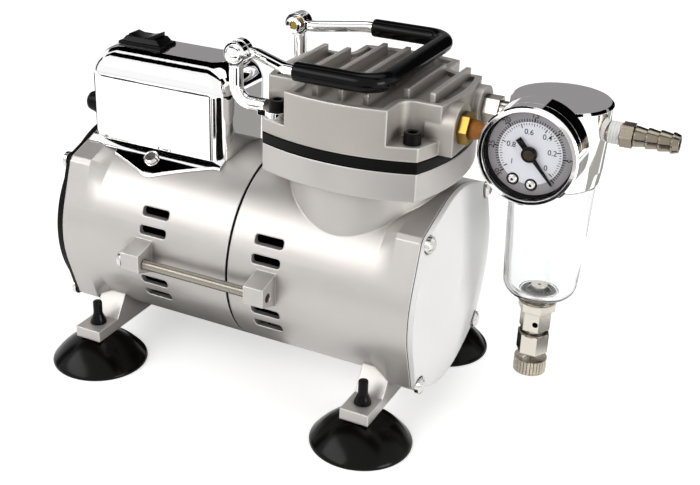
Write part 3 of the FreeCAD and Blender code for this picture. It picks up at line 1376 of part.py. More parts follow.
# Hex nipple from the head's rear port to the trap
TRAP_SIDE = "(trap_x - trap_top_radius)"
nipple = new_body("hex_nipple")
pad(nipple, "thread", "YZ_Plane", f"{BOSS_FACE} - thread_length",
    circles=[("port_y", "port_z", "port_radius")],
    length=f"{TRAP_SIDE} + thread_length - ({BOSS_FACE} - thread_length)")
pad(nipple, "hexagon", "YZ_Plane", f"{BOSS_FACE}", [hexagon_loop("nipple_hex", "port_y", "port_z")],
    length="nipple_hex_length")
pocket(nipple, "bore", "YZ_Plane", f"{BOSS_FACE} - thread_length",
       circles=[("port_y", "port_z", "barb_bore")], length="60", backwards=True)
seat(nipple, "hex_nipple")

# Moisture trap: tapered chrome head with its ports, on its own upright axis
trap = new_body("trap_head")
turn(trap, "outside", [
    ("0", "trap_top"), ("0", "trap_top - cavity_roof"), ("cavity_radius", "trap_top - cavity_roof"),
    ("cavity_radius", "bowl_top + bowl_seal_height"),
    ("bowl_top_radius + bowl_socket_gap", "bowl_top + bowl_seal_height"),
    ("bowl_top_radius + bowl_socket_gap", "trap_bottom"),
    ("trap_bottom_radius - trap_edge", "trap_bottom"),
    ("trap_bottom_radius", "trap_bottom + trap_edge"),
    ("trap_bottom_radius + (trap_top_radius - trap_bottom_radius) * 0.4", "trap_bottom + trap_skirt"),
    ("trap_top_radius", "trap_top - trap_edge"),
    ("trap_top_radius - trap_edge", "trap_top")])
pocket(trap, "inlet", "YZ_Plane", "-(trap_top_radius + 2)", circles=[("0", "port_z", "port_radius")],
       length="trap_top_radius + 2 - cavity_radius / 2", backwards=True)
pocket(trap, "outlet", "YZ_Plane", "trap_top_radius + 2", circles=[("0", "barb_z", "barb_thread_radius")],
       length="trap_top_radius + 2 - cavity_radius / 2")
pocket(trap, "gauge_port", "XZ_Plane", "trap_top_radius + 2", circles=[("0", "gauge_z", "gauge_stem_radius")],
       length="trap_top_radius + 2 - cavity_radius / 2")
seat(trap, "trap_head", x="trap_x", y="trap_y")

solid_group("trap_filter", [turned_solid([
    (0, value("filter_radius - filter_wall")), (0, value("filter_radius")),
    (value("filter_length"), value("filter_radius")),
    (value("filter_length"), value("filter_radius - filter_wall"))],
    point("trap_x", "trap_y", "port_z - port_radius - 1 - filter_length"), (0, 0, 1))])
holder_length = value("filter_length + filter_plate + trap_top - cavity_roof - port_z + port_radius + 1")
solid_group("filter_holder", [turned_solid([
    (0, 0), (0, value("filter_radius")), (value("filter_plate"), value("filter_radius")),
    (value("filter_plate"), value("filter_rod_radius")), (holder_length, value("filter_rod_radius")),
    (holder_length, 0)],
    point("trap_x", "trap_y", "port_z - port_radius - 1 - filter_length - filter_plate"), (0, 0, 1))])
solid_group("bowl_seal", [turned_solid([
    (0, value("bowl_top_radius - bowl_wall")), (0, value("bowl_top_radius")),
    (value("bowl_seal_height"), value("bowl_top_radius")),
    (value("bowl_seal_height"), value("bowl_top_radius - bowl_wall"))],
    point("trap_x", "trap_y", "bowl_top"), (0, 0, 1))])

# Clear bowl: tapered wall and a domed bottom with the drain bore
bowl = new_body("bowl")
BOWL_ARC = "((bowl_bottom_radius - bowl_base_radius) * 0.78 + bowl_base_radius)"
turn(bowl, "wall", [
    ("bowl_top_radius", "bowl_top"),
    ("bowl_top_radius - bowl_wall", "bowl_top"),
    ("bowl_bottom_radius - bowl_wall", "bowl_base + bowl_dome + bowl_wall * 0.4"),
    ("bowl_bottom_radius - bowl_wall - 2", "bowl_base + bowl_wall + 1.6"),
    ("bowl_base_radius", "bowl_base + bowl_wall"),
    ("drain_bore", "bowl_base + bowl_wall"),
    ("drain_bore", "bowl_base"),
    ("bowl_base_radius - 0.7", "bowl_base"),
    ("bowl_base_radius - 0.7", "bowl_base - bowl_skirt"),
    ("bowl_base_radius", "bowl_base - bowl_skirt"),
    ("bowl_base_radius + 0.3", "bowl_base - bowl_skirt * 0.4"),
    (BOWL_ARC, "bowl_base + bowl_dome * 0.22"),
    ("bowl_bottom_radius", "bowl_base + bowl_dome"),
    ("bowl_shoulder_radius", "trap_bottom - trap_edge"),
    ("bowl_top_radius", "trap_bottom - trap_edge / 2"),
])
seat(bowl, "bowl", x="trap_x", y="trap_y")

# Bleed valve stack under the bowl: washer ring, ring nut, hexagon body, lock nut and knob
RING_LOW = "(bowl_base - ring_height)"
NUT_LOW = f"({RING_LOW} - ring_nut_height)"
VALVE_LOW = f"({NUT_LOW} - valve_hex_height)"
NECK_LOW = f"({VALVE_LOW} - valve_neck_height)"
LOCK_LOW = f"({NECK_LOW} - lock_height)"
KNOB_TOP = f"({LOCK_LOW} - knob_gap)"


def trap_axis(z):
    return point("trap_x", "trap_y", z)


def washer(label, low, height, radius, hole, bevel):
    """A plain round ring on the trap's axis with bevelled outer edges."""
    size, bore, tall = value(radius), value(hole), value(height)
    return solid_group(label, [turned_solid([
        (0, bore), (0, size - bevel), (bevel, size), (tall - bevel, size), (tall, size - bevel),
        (tall, bore)], trap_axis(low), (0, 0, 1))])


washer("bowl_ring", RING_LOW, "ring_height", "ring_radius", "drain_bore", 0.6)
ring_nut = new_body("ring_nut")
pad(ring_nut, "hexagon", "XY_Plane", NUT_LOW, [hexagon_loop("2 * ring_nut_radius")], length="ring_nut_height")
pocket(ring_nut, "thread", "XY_Plane", NUT_LOW, circles=[("0", "0", "drain_bore")],
       length="ring_nut_height + 1", backwards=True)
seat(ring_nut, "ring_nut", x="trap_x", y="trap_y")
valve = new_body("bleed_valve")
pad(valve, "hexagon", "XY_Plane", VALVE_LOW, [hexagon_loop("valve_hex")], length="valve_hex_height")
pad(valve, "stud", "XY_Plane", f"{VALVE_LOW} + valve_hex_height - 1", circles=[("0", "0", "drain_bore")],
    length="ring_nut_height + ring_height + bowl_wall + 3")
pad(valve, "stud_head", "XY_Plane", "bowl_base + bowl_wall", circles=[("0", "0", "drain_bore + 2")],
    length="drain_bore")
pad(valve, "neck", "XY_Plane", LOCK_LOW, circles=[("0", "0", "valve_neck_radius")],
    length="valve_neck_height + lock_height + 1")
pocket(valve, "stem_bore", "XY_Plane", LOCK_LOW, circles=[("0", "0", "knob_stem_radius + pin_clearance")],
       length="lock_height + valve_neck_height", backwards=True)
pocket(valve, "drain", "XY_Plane", LOCK_LOW, circles=[("0", "0", "0.8")], length="60", backwards=True)
pocket(valve, "bleed_hole", "XZ_Plane", "valve_hex", circles=[
    ("2", f"{VALVE_LOW} + valve_hex_height * 0.4", "bleed_hole_radius")], length="valve_hex - 2")
seat(valve, "bleed_valve", x="trap_x", y="trap_y")

lock = new_body("lock_nut")
pad(lock, "hexagon", "XY_Plane", LOCK_LOW, [hexagon_loop("lock_hex")], length="lock_height")
pocket(lock, "thread", "XY_Plane", LOCK_LOW, circles=[("0", "0", "valve_neck_radius")],
       length="lock_height + 1", backwards=True)
seat(lock, "lock_nut", x="trap_x", y="trap_y")

knob = new_body("bleed_knob")
pad(knob, "grip", "XY_Plane", f"{KNOB_TOP} - knob_height", circles=[("0", "0", "knob_radius")],
    length="knob_height")
pad(knob, "stem", "XY_Plane", f"{KNOB_TOP} - 1", circles=[("0", "0", "knob_stem_radius")],
    length="knob_gap + lock_height + valve_neck_height - 1")
groove = pocket(knob, "knurl_groove", "XY_Plane", KNOB_TOP,
                [[("knob_radius - 0.5", "0"), ("knob_radius + 1", "-0.7"), ("knob_radius + 1", "0.7")]],
                length="knob_height")
knurl = knob.newObject("PartDesign::PolarPattern", "knurl")
knurl.Originals = [groove]
knurl.Axis = (origin_plane(knob, "Z_Axis"), [""])
knurl.Angle = 360
knurl.Occurrences = 30
knob.Tip = knurl
seat(knob, "bleed_knob", x="trap_x", y="trap_y")

# Hose barb with its taped thread, level with the trap's outlet
barb = new_body("hose_barb")
THREAD_START = "(trap_x + trap_top_radius - thread_length)"
BARB_START = "(barb_thread_end + barb_hex_length)"
profile = [(THREAD_START, "barb_bore"), ("barb_tip", "barb_bore")]
profile.append(("barb_tip", "barb_root"))
for ridge in reversed(range(int(value("barb_count")))):
    crest = f"{BARB_START} + barb_first + barb_pitch * {ridge}"
    profile.append((f"{crest} + barb_crest", "barb_radius"))
    profile.append((crest, "barb_radius"))
    profile.append((crest, "barb_root"))
profile.append(("barb_thread_end", "barb_root"))
profile.append(("barb_thread_end", "barb_thread_radius"))
profile.append((THREAD_START, "barb_thread_radius"))
turn(barb, "barbs", profile, axis="H_Axis")
pad(barb, "hexagon", "YZ_Plane", "barb_thread_end",
    [hexagon_loop("barb_hex")], length="barb_hex_length")
pocket(barb, "bore", "YZ_Plane", "barb_thread_end - 1", circles=[("0", "0", "barb_bore")],
       length="barb_hex_length + 2", backwards=True)
seat(barb, "hose_barb", y="trap_y", z="barb_z")

tape = new_body("thread_tape")
TAPE_START = "(trap_x + trap_top_radius - 0.2)"
pad(tape, "wrap", "YZ_Plane", TAPE_START, circles=[("0", "0", "barb_thread_radius + 0.5"),
                                                   ("0", "0", "barb_thread_radius")],
    length=f"barb_thread_end - {TAPE_START}")
seat(tape, "thread_tape", y="trap_y", z="barb_z")

# Vacuum gauge, drawn face up and then stood on edge so that its face looks to -Y
GAUGE_TURN = FreeCAD.Rotation(V(1, 0, 0), 90)


def gauge_seat(body, label):
    return seat(body, label, x="trap_x", y="-gauge_front", z="gauge_z", rotation=GAUGE_TURN)


bezel_ring = new_body("gauge_bezel")
turn(bezel_ring, "ring", [
    ("gauge_radius - bezel_lip", "0"), ("gauge_radius - 0.8", "0"), ("gauge_radius", "-0.8"),
    ("gauge_radius", "-bezel_length"), ("gauge_radius - case_wall", "-bezel_length"),
    ("gauge_radius - case_wall", "-lens_recess"), ("gauge_radius - bezel_lip", "-lens_recess")])
gauge_seat(bezel_ring, "gauge_bezel")

lens = new_body("gauge_lens")
pad(lens, "glass", "XY_Plane", "-lens_recess", circles=[("0", "0", "gauge_radius - case_wall - 0.05")],
    length="lens_thickness", backwards=True)
gauge_seat(lens, "gauge_lens")

case = new_body("gauge_case")
turn(case, "cup", [
    ("gauge_radius - 2 * case_wall", "-(lens_recess + lens_thickness)"),
    ("gauge_radius - case_wall", "-(lens_recess + lens_thickness)"),
    ("gauge_radius - case_wall", "-bezel_length"),
    ("case_radius", "-bezel_length"), ("case_radius", "-gauge_depth + 1.5"),
    ("case_radius - 1.5", "-gauge_depth"), ("0", "-gauge_depth"), ("0", "-gauge_depth + case_wall"),
    ("gauge_radius - 2 * case_wall", "-gauge_depth + case_wall")])
gauge_seat(case, "gauge_case")

dial = new_body("gauge_dial")
pad(dial, "plate", "XY_Plane", "-dial_depth",
    circles=[("0", "0", "gauge_radius - 2 * case_wall"), ("0", "0", "needle_hub / 3")],
    length="dial_thickness", backwards=True)
gauge_seat(dial, "gauge_dial")

dial_screws = []
for side in (-1, 1):
    direction = math.radians(-90 + value("dial_turn") + side * value("dial_screw_spread"))
    ring = value("dial_screw_ring")
    dial_screws.append(turned_solid([
        (0, 0), (0, value("dial_screw_radius")), (0.5, value("dial_screw_radius")),
        (0.9, value("dial_screw_radius") * 0.6), (0.9, 0)],
        V(value("trap_x") + ring * math.cos(direction), value("dial_depth - gauge_front"),
          value("gauge_z") + ring * math.sin(direction)), (0, -1, 0)))
solid_group("dial_screws", dial_screws)

needle = new_body("gauge_needle")
NEEDLE_LOW = "(-dial_depth + 0.9)"
pad(needle, "hub", "XY_Plane", NEEDLE_LOW, circles=[("0", "0", "needle_hub")],
    length="needle_thickness + 0.6")
pointer = [("needle_length", "0.35"), ("-needle_tail", "1.3"), ("-needle_tail", "-1.3"),
           ("needle_length", "-0.35")]
pointer_sketch = sketch_on(needle, "pointer_sketch", "XY_Plane", NEEDLE_LOW)
add_loop(pointer_sketch, [(f"({x}) * cos(needle_angle) - ({y}) * sin(needle_angle)",
                           f"({x}) * sin(needle_angle) + ({y}) * cos(needle_angle)")
                          for x, y in pointer])
feature(needle, "Pad", "pointer", pointer_sketch, "needle_thickness")
pad(needle, "spindle", "XY_Plane", "-gauge_depth + case_wall + 2",
    circles=[("0", "0", "needle_hub / 3 - pin_clearance")],
    length=f"gauge_depth - case_wall - 2 + {NEEDLE_LOW} + 0.2")
gauge_seat(needle, "gauge_needle")

stem_body = new_body("gauge_stem")
pad(stem_body, "thread", "XY_Plane", "-gauge_depth", circles=[("0", "0", "gauge_stem_radius")],
    length="trap_y + gauge_front - gauge_depth - trap_top_radius + thread_length", backwards=True)
gauge_seat(stem_body, "gauge_stem")

# Write each finished sub-part after checking that it came out whole
doc.recompute()
for item in doc.Objects:
    if "Invalid" in item.State or "Error" in item.State:
        raise RuntimeError(f"{item.Name} {item.Label}: {item.State}")
os.makedirs("parts", exist_ok=True)
for item in parts:
    if item.Shape.isNull() or not item.Shape.isValid():
        raise RuntimeError(f"{item.Label} has no valid shape")
    item.Shape.exportStep(f"parts/{item.Label}.step")
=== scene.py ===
import math

import bpy
from mathutils import Matrix, Vector


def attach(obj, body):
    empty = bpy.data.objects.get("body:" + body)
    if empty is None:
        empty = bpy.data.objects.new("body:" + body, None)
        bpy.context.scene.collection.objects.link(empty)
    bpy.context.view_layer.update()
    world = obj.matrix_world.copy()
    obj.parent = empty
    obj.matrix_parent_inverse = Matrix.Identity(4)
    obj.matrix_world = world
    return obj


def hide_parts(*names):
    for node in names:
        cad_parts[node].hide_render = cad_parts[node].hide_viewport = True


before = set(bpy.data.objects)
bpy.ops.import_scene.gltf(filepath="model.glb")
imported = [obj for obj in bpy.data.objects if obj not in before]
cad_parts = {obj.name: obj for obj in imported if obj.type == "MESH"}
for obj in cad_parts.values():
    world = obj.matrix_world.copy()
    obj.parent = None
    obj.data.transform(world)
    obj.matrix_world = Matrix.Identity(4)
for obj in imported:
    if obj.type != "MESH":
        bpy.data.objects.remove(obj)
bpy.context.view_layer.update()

# Camera: stands in front of the pump on the water trap's side and looks down a little. It was fitted
# to edges and screws of the photograph, in millimetres from the seam's middle on the shaft's axis.
MM = 0.001
SEAM = Vector((-41.8, 0.0, 66.5)) * MM


def from_seam(x, y, z):
    """A point given in millimetres from the seam on the shaft's axis, in the scene's metres."""
    return SEAM + Vector((x, y, z)) * MM


CAMERA_PLACE = (261.77, -475.13, 261.96)
AZIMUTH, ELEVATION, ROLL = (math.radians(a) for a in (27.49, 26.21, 1.23))
away = Vector((math.sin(AZIMUTH) * math.cos(ELEVATION), -math.cos(AZIMUTH) * math.cos(ELEVATION),
               math.sin(ELEVATION)))
flat_right = Vector((math.cos(AZIMUTH), math.sin(AZIMUTH), 0.0))
flat_up = away.cross(flat_right)
right = flat_right * math.cos(ROLL) + flat_up * math.sin(ROLL)
up = flat_up * math.cos(ROLL) - flat_right * math.sin(ROLL)
camera_data = bpy.data.cameras.new("camera")
camera_data.lens = 59.68
camera_data.sensor_width = 36.0
camera_data.shift_x = 0.0701
camera_data.shift_y = 0.0097
camera_data.clip_start = 0.01
camera = bpy.data.objects.new("camera", camera_data)
bpy.context.scene.collection.objects.link(camera)
turned_view = Matrix((right, up, away)).transposed().to_4x4()
camera.matrix_world = Matrix.Translation(from_seam(*CAMERA_PLACE)) @ turned_view
bpy.context.scene.camera = camera
bpy.context.scene.view_settings.view_transform = "Standard"


# Floor and surround: white paper under the pump, which keeps a soft shadow, and an even white room.
# Both look white to the camera, the metal and the glass. What they throw on the pump as soft light
# is weaker, so that its shaded sides keep their tone.
def linear(code):
    """The linear colour of an sRGB hex code."""
    parts = [int(code[i:i + 2], 16) / 255 for i in (1, 3, 5)]
    return tuple(c / 12.92 if c <= 0.04045 else ((c + 0.055) / 1.055) ** 2.4 for c in parts) + (1.0,)


def add_node(tree, kind, inputs=None, **settings):
    """Adds a node; an input's value is a number, a colour or another node's output socket."""
    node = tree.nodes.new(kind)
    for name, setting in settings.items():
        setattr(node, name, setting)
    for name, source in (inputs or {}).items():
        if isinstance(source, bpy.types.NodeSocket):
            tree.links.new(source, node.inputs[name])
        else:
            node.inputs[name].default_value = source
    return node


def deselect():
    """Leaves edit mode and selects nothing, so that the next operator works on new things only."""
    if bpy.context.object and bpy.context.object.mode != "OBJECT":
        bpy.ops.object.mode_set(mode="OBJECT")
    bpy.ops.object.select_all(action="DESELECT")


PAPER_SEEN, PAPER_GLOW, PAPER_LIT, ROOM_LIT = 0.87, 0.50, 0.50, 0.40
deselect()
bpy.ops.mesh.primitive_plane_add(size=6.0, location=(0.0, 0.0, 0.0))
floor = bpy.context.object
floor.name = "floor"
floor_paper = bpy.data.materials.new("white_floor_paper")
floor_paper.use_nodes = True
floor_tree = floor_paper.node_tree
floor_tree.nodes.clear()
floor_rays = add_node(floor_tree, "ShaderNodeLightPath")
paper_tone = add_node(floor_tree, "ShaderNodeMapRange", {"Value": floor_rays.outputs["Is Diffuse Ray"],
                                                         "To Min": PAPER_SEEN,
                                                         "To Max": PAPER_LIT})
paper = add_node(floor_tree, "ShaderNodeBsdfDiffuse", {"Color": paper_tone.outputs["Result"]})
glow_level = add_node(floor_tree, "ShaderNodeMapRange", {"Value": floor_rays.outputs["Is Diffuse Ray"],
                                                         "To Min": PAPER_GLOW,
                                                         "To Max": 0.0})
glow = add_node(floor_tree, "ShaderNodeEmission", {"Color": (1.0, 1.0, 1.0, 1.0),
                                                   "Strength": glow_level.outputs["Result"]})
floor_sum = add_node(floor_tree, "ShaderNodeAddShader")
floor_tree.links.new(paper.outputs[0], floor_sum.inputs[0])
floor_tree.links.new(glow.outputs[0], floor_sum.inputs[1])
add_node(floor_tree, "ShaderNodeOutputMaterial", {"Surface": floor_sum.outputs[0]})
floor.data.materials.append(floor_paper)

room = bpy.data.worlds.new("white_room")
bpy.context.scene.world = room
room.use_nodes = True
room_tree = room.node_tree
room_tree.nodes.clear()
rays = add_node(room_tree, "ShaderNodeLightPath")
seen = add_node(room_tree, "ShaderNodeMath", {0: rays.outputs["Is Camera Ray"],
                                              1: rays.outputs["Is Transmission Ray"]},
                operation="MAXIMUM")
mirrored = add_node(room_tree, "ShaderNodeMath", {0: seen.outputs[0], 1: rays.outputs["Is Glossy Ray"]},
                    operation="MAXIMUM")
level = add_node(room_tree, "ShaderNodeMapRange", {"Value": mirrored.outputs[0], "To Min": ROOM_LIT,
                                                   "To Max": 1.0})
surround = add_node(room_tree, "ShaderNodeBackground", {"Color": (1.0, 1.0, 1.0, 1.0),
                                                        "Strength": level.outputs[0]})
add_node(room_tree, "ShaderNodeOutputWorld", {"Surface": surround.outputs[0]})


# Lamps: a large soft key from the front left, a wide top light and a smaller one on the trap's side.
# Together with the room they bring a plain colour out about as it is written.
def lamp(name, place, aim, width, height, power):
    """A soft lamp that looks from its place to the aim point."""
    data = bpy.data.lights.new(name, "AREA")
    data.shape = "RECTANGLE"
    data.size = width
    data.size_y = height
    data.energy = power
    made = bpy.data.objects.new(name, data)
    bpy.context.scene.collection.objects.link(made)
    made.location = place
    made.rotation_euler = (Vector(aim) - Vector(place)).to_track_quat("-Z", "Y").to_euler()


lamp("key_softbox", (-0.70, -0.84, 0.80), (-0.02, 0.0, 0.08), 1.2, 0.5, 7.2)
lamp("top_softbox", (0.10, 0.25, 1.25), (0.0, 0.0, 0.08), 0.9, 0.9, 3.6)
lamp("side_softbox", (1.10, -0.30, 0.28), (0.05, 0.0, 0.05), 0.5, 0.4, 5.4)


# Flags: black and grey cards round the pump, which only reflections see. They draw the dark lines
# that chrome shows in a studio, and leave the soft light and the shadow alone.
def flag(name, place, aim, width, height, code):
    """A card of one shade, turned to the pump, that the camera and the soft light don't see."""
    deselect()
    bpy.ops.mesh.primitive_plane_add(size=1.0, location=place)
    made = bpy.context.object
    made.name = name
    made.scale = (width, height, 1.0)
    made.rotation_euler = (Vector(aim) - Vector(place)).to_track_quat("Z", "Y").to_euler()
    shade = bpy.data.materials.new(name + "_shade")
    shade.use_nodes = True
    shade.node_tree.nodes.clear()
    even = add_node(shade.node_tree, "ShaderNodeEmission", {"Color": linear(code), "Strength": 1.0})
    add_node(shade.node_tree, "ShaderNodeOutputMaterial", {"Surface": even.outputs[0]})
    made.data.materials.append(shade)
    made.visible_camera = False
    made.visible_diffuse = False
    made.visible_transmission = False
    made.visible_shadow = False
    made.visible_volume_scatter = False
    return made


ARCH_X, ARCH_Z, ARCH_REACH, ARCH_LENGTH = -0.2, 0.10, 1.25, 3.0


def overhead_flag(name, first, last, code):
    """A card along the shaft's direction, from one tilt up from the front to another, in degrees."""
    turn = math.radians((first + last) / 2)
    place = (ARCH_X, -ARCH_REACH * math.cos(turn), ARCH_Z + ARCH_REACH * math.sin(turn))
    width = 2 * ARCH_REACH * math.tan(math.radians((last - first) / 2))
    flag(name, place, (ARCH_X, 0.0, ARCH_Z), ARCH_LENGTH, width, code)


ZENITH = 9.0


def floor_flag(name, low, high, code, lift=0.002):
    """A card that lies just over the floor between two corners, in metres, and faces straight up."""
    place = ((low[0] + high[0]) / 2, (low[1] + high[1]) / 2, lift)
    flag(name, place, (place[0], place[1], ZENITH), high[0] - low[0], high[1] - low[1], code)


BOX_CORNER, CORNER_REACH, CORNER_LENGTH = Vector((-0.066, -0.022, 0.002)), 0.43, 0.34


def corner_flag(name, heading, width, code):
    """A card on the floor that points at the switch box's front corner, so that the corner shows a
    straight upright line; heading is in degrees from the front towards the trap."""
    turn = math.radians(heading)
    middle = BOX_CORNER + Vector((math.sin(turn), -math.cos(turn), 0.0)) * CORNER_REACH
    made = flag(name, middle, (middle.x, middle.y, ZENITH), width, CORNER_LENGTH, code)
    made.rotation_euler = (0.0, 0.0, turn)


# Over the pump: the dark lines along the upper edges of the switch box, and the grey of flat tops.
overhead_flag("flag_over", 70.0, 91.0, "#000000")
overhead_flag("flag_behind", 105.0, 147.0, "#000000")
overhead_flag("grey_backdrop", 147.5, 178.0, "#949292")
# To the left and in front: the dark left side of the box and the line above its lower edge.
flag("flag_left", (-1.3, -0.10, 0.30), (0.0, 0.0, 0.1), 0.30, 0.9, "#000000")
floor_flag("floor_line_front", (-1.40, -0.60), (-0.30, -0.49), "#0A0A0A")
# In front of the box's corner: its upright line, the grey to the left and the shade to the right.
corner_flag("corner_line", -24.0, 0.034, "#080808")
corner_flag("corner_grey", -14.0, 0.045, "#8C8A88")
corner_flag("corner_strip", 34.0, 0.24, "#0C0B0A")
# Behind the pump and beyond the trap: dark for chrome that looks to the left, grey for the box's
# right side and a softer grey for the trap head's right side.
floor_flag("dark_floor", (-0.60, 0.10), (-0.05, 0.60), "#060606")
floor_flag("grey_floor", (0.06, 0.22), (0.24, 0.46), "#9C9B98")
floor_flag("soft_floor", (0.28, 0.08), (0.40, 0.50), "#A9A7A2")
# Beside and under the pump: the dark sides of the nickel plated stack, and the shaded underside of
# the rear housing.
floor_flag("stack_line", (0.158, -0.20), (0.19, 0.05), "#14110D")
floor_flag("stack_edge", (0.02, -0.02), (0.062, 0.08), "#14110D")
floor_flag("under_pump", (-0.14, -0.06), (-0.03, 0.07), "#161412")
# In front of the gauge: the grey and dark arcs of its bezel. The darker card lies on the other.
floor_flag("bezel_grey", (-0.045, -0.48), (0.03, -0.34), "#C4C2BF", 0.004)
floor_flag("bezel_dark", (-0.100, -0.470), (-0.006, -0.335), "#0A0908", 0.005)
# Upright behind the pump: the dark edge round the trap's top and the gauge case.
flag("back_card", (0.24, 0.62, 0.26), (0.24, 0.0, 0.26), 0.46, 0.50, "#050505")


# Housing halves and crankcase cover: aluminium die castings, blasted and silver sprayed, with four
# ears, side lugs, foot arms and milled cooling slots. Satin, with a fine even grit and soft edges,
# painted shade darkening the corners and, on the halves, a painted highlight along the edges. The
# grit is drawn coarser than the real one so that it shows. The cover is paler and not metallic; its
# near white is partly painted light, raised to the brightness that the side lamp gives it.
def new_finish(name, skin_inputs):
    """A material with one surface shader linked to its output."""
    made = bpy.data.materials.new(name)
    made.use_nodes = True
    tree = made.node_tree
    tree.nodes.clear()
    skin = add_node(tree, "ShaderNodeBsdfPrincipled", skin_inputs)
    add_node(tree, "ShaderNodeOutputMaterial", {"Surface": skin.outputs[0]})
    return made, tree, skin


CLOUD_WIDTH, SOFT_SAMPLES = 22, 6
COLOUR_A, COLOUR_B, COLOUR_MIX = 6, 7, 2  # the mix node's colour sockets by number


def grit_tones_and_painted_light(tree, skin, grit, depth, rough, spread, tones=None, edge=0.0, crevice=None, rim=None):
    """Grit of one size and depth in millimetres, roughness and tone in soft clouds, rounded edges,
    painted shade that darkens corners within a reach in millimetres, and a painted highlight on edges."""
    place = add_node(tree, "ShaderNodeTexCoord")
    fine = add_node(tree, "ShaderNodeTexNoise", {"Vector": place.outputs["Object"],
                                                 "Scale": 1.0 / (grit * MM), "Detail": 3.0})
    cloud = add_node(tree, "ShaderNodeTexNoise", {"Vector": place.outputs["Object"],
                                                  "Scale": 1.0 / (CLOUD_WIDTH * MM), "Detail": 4.0})
    rough_map = add_node(tree, "ShaderNodeMapRange", {"Value": cloud.outputs["Fac"], "From Min": 0.3,
                                                      "From Max": 0.7, "To Min": rough - spread,
                                                      "To Max": rough + spread})
    tree.links.new(rough_map.outputs["Result"], skin.inputs["Roughness"])
    bump = add_node(tree, "ShaderNodeBump", {"Height": fine.outputs["Fac"], "Distance": depth * MM,
                                             "Strength": 1.0})
    if edge:
        rounded = add_node(tree, "ShaderNodeBevel", {"Radius": edge * MM}, samples=SOFT_SAMPLES)
        tree.links.new(rounded.outputs["Normal"], bump.inputs["Normal"])
    tree.links.new(bump.outputs["Normal"], skin.inputs["Normal"])
    if tones:
        mottled = add_node(tree, "ShaderNodeMix", {"Factor": cloud.outputs["Fac"],
                                                   COLOUR_A: linear(tones[0]),
                                                   COLOUR_B: linear(tones[1])}, data_type="RGBA")
        colour = mottled.outputs[COLOUR_MIX]
        # Painted highlight: where the rounded edge's normal turns away from the face, the colour goes
        # paler.
        if rim:
            shape = add_node(tree, "ShaderNodeNewGeometry")
            level_face = add_node(tree, "ShaderNodeVectorMath", {0: rounded.outputs["Normal"],
                                                                 1: shape.outputs["Normal"]},
                                  operation="DOT_PRODUCT")
            on_edge = add_node(tree, "ShaderNodeMapRange", {"Value": level_face.outputs["Value"],
                                                            "From Min": 0.80, "From Max": 0.98,
                                                            "To Min": 1.0, "To Max": 0.0})
            painted_edge_highlight = add_node(tree, "ShaderNodeMix", {"Factor": on_edge.outputs["Result"],
                                                    COLOUR_A: colour,
                                                    COLOUR_B: linear(rim)}, data_type="RGBA")
            colour = painted_edge_highlight.outputs[COLOUR_MIX]
        # Painted shade: ambient occlusion darkens the colour in corners and hollows within the reach.
        if crevice:
            dull, reach = crevice
            corner_occlusion = add_node(tree, "ShaderNodeAmbientOcclusion", {"Distance": reach * MM},
                               samples=SOFT_SAMPLES)
            unshaded = add_node(tree, "ShaderNodeMapRange", {"Value": corner_occlusion.outputs["AO"],
                                                             "From Min": 0.35, "From Max": 0.85})
            painted_corner_shade = add_node(tree, "ShaderNodeMix", {"Factor": unshaded.outputs["Result"],
                                                       COLOUR_A: linear(dull),
                                                       COLOUR_B: colour}, data_type="RGBA")
            colour = painted_corner_shade.outputs[COLOUR_MIX]
        tree.links.new(colour, skin.inputs["Base Color"])


def gritty_finish(name, skin_inputs, **finishing):
    """A material with one surface shader, with its grit and any tones, painted shade and painted
    highlight.
    """
    made, tree, skin = new_finish(name, skin_inputs)
    grit_tones_and_painted_light(tree, skin, **finishing)
    return made


def dress(finish, *nodes):
    """Gives a finish to CAD pieces whose shape stays as it is."""
    for name in nodes:
        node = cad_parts[name]
        node.data.materials.clear()
        node.data.materials.append(finish)


blasted_aluminium = gritty_finish("blasted_cast_aluminium", {"Metallic": 0.62}, grit=0.35, depth=0.03,
                                rough=0.38, spread=0.03, tones=("#BFBBB7", "#CAC6C2"), edge=1.0,
                                crevice=("#7A746E", 7.0), rim="#EFEDEA")
dress(blasted_aluminium, "rear_housing", "front_housing", "connecting_rod")
pale_casting = gritty_finish("pale_cast_cover", {"Metallic": 0.0, "Specular IOR Level": 0.3}, grit=0.35,
                           depth=0.02, rough=0.36, spread=0.03, tones=("#F8F7F6", "#FCFBFA"),
                           edge=0.8, crevice=("#9C9690", 4.0))
dress(pale_casting, "front_cover")


# Seam seal and gaskets: die-cut black rubber, pressed between the castings, so that only a thin dull
# line shows. The rear end cover, valve plate, socket screws and needle have a black coat like stove
# enamel, smooth with a weak shine.
gasket_rubber = gritty_finish("die_cut_gasket_rubber",
                            {"Base Color": linear("#0D0C0B"), "Specular IOR Level": 0.06}, grit=0.25,
                            depth=0.03, rough=0.65, spread=0.06)
dress(gasket_rubber, "seam_seal", "cover_gasket", "cylinder_gasket", "head_gasket", "bowl_seal")
black_enamel = gritty_finish("black_stoved_enamel",
                           {"Base Color": linear("#0C0B0A"), "Specular IOR Level": 0.10}, grit=1.2,
                           depth=0.02, rough=0.34, spread=0.05, edge=0.4)
dress(black_enamel, "rear_cover", "valve_plate", "head_screws", "gauge_needle")


# Cover screws: M5 pan heads with a cross recess, rolled steel with bright zinc plate, a cool bright
# metal, with painted shade darkening its recess. The heads of the tie screws and dial screws have it
# too.
zinc_plate = gritty_finish("bright_zinc_plate", {"Metallic": 1.0}, grit=0.4, depth=0.004, rough=0.16,
                         spread=0.04, tones=("#CECCC8", "#DAD8D5"), edge=0.25, crevice=("#3A352F", 1.6))
dress(zinc_plate, "cover_screws", "switch_box_screws")
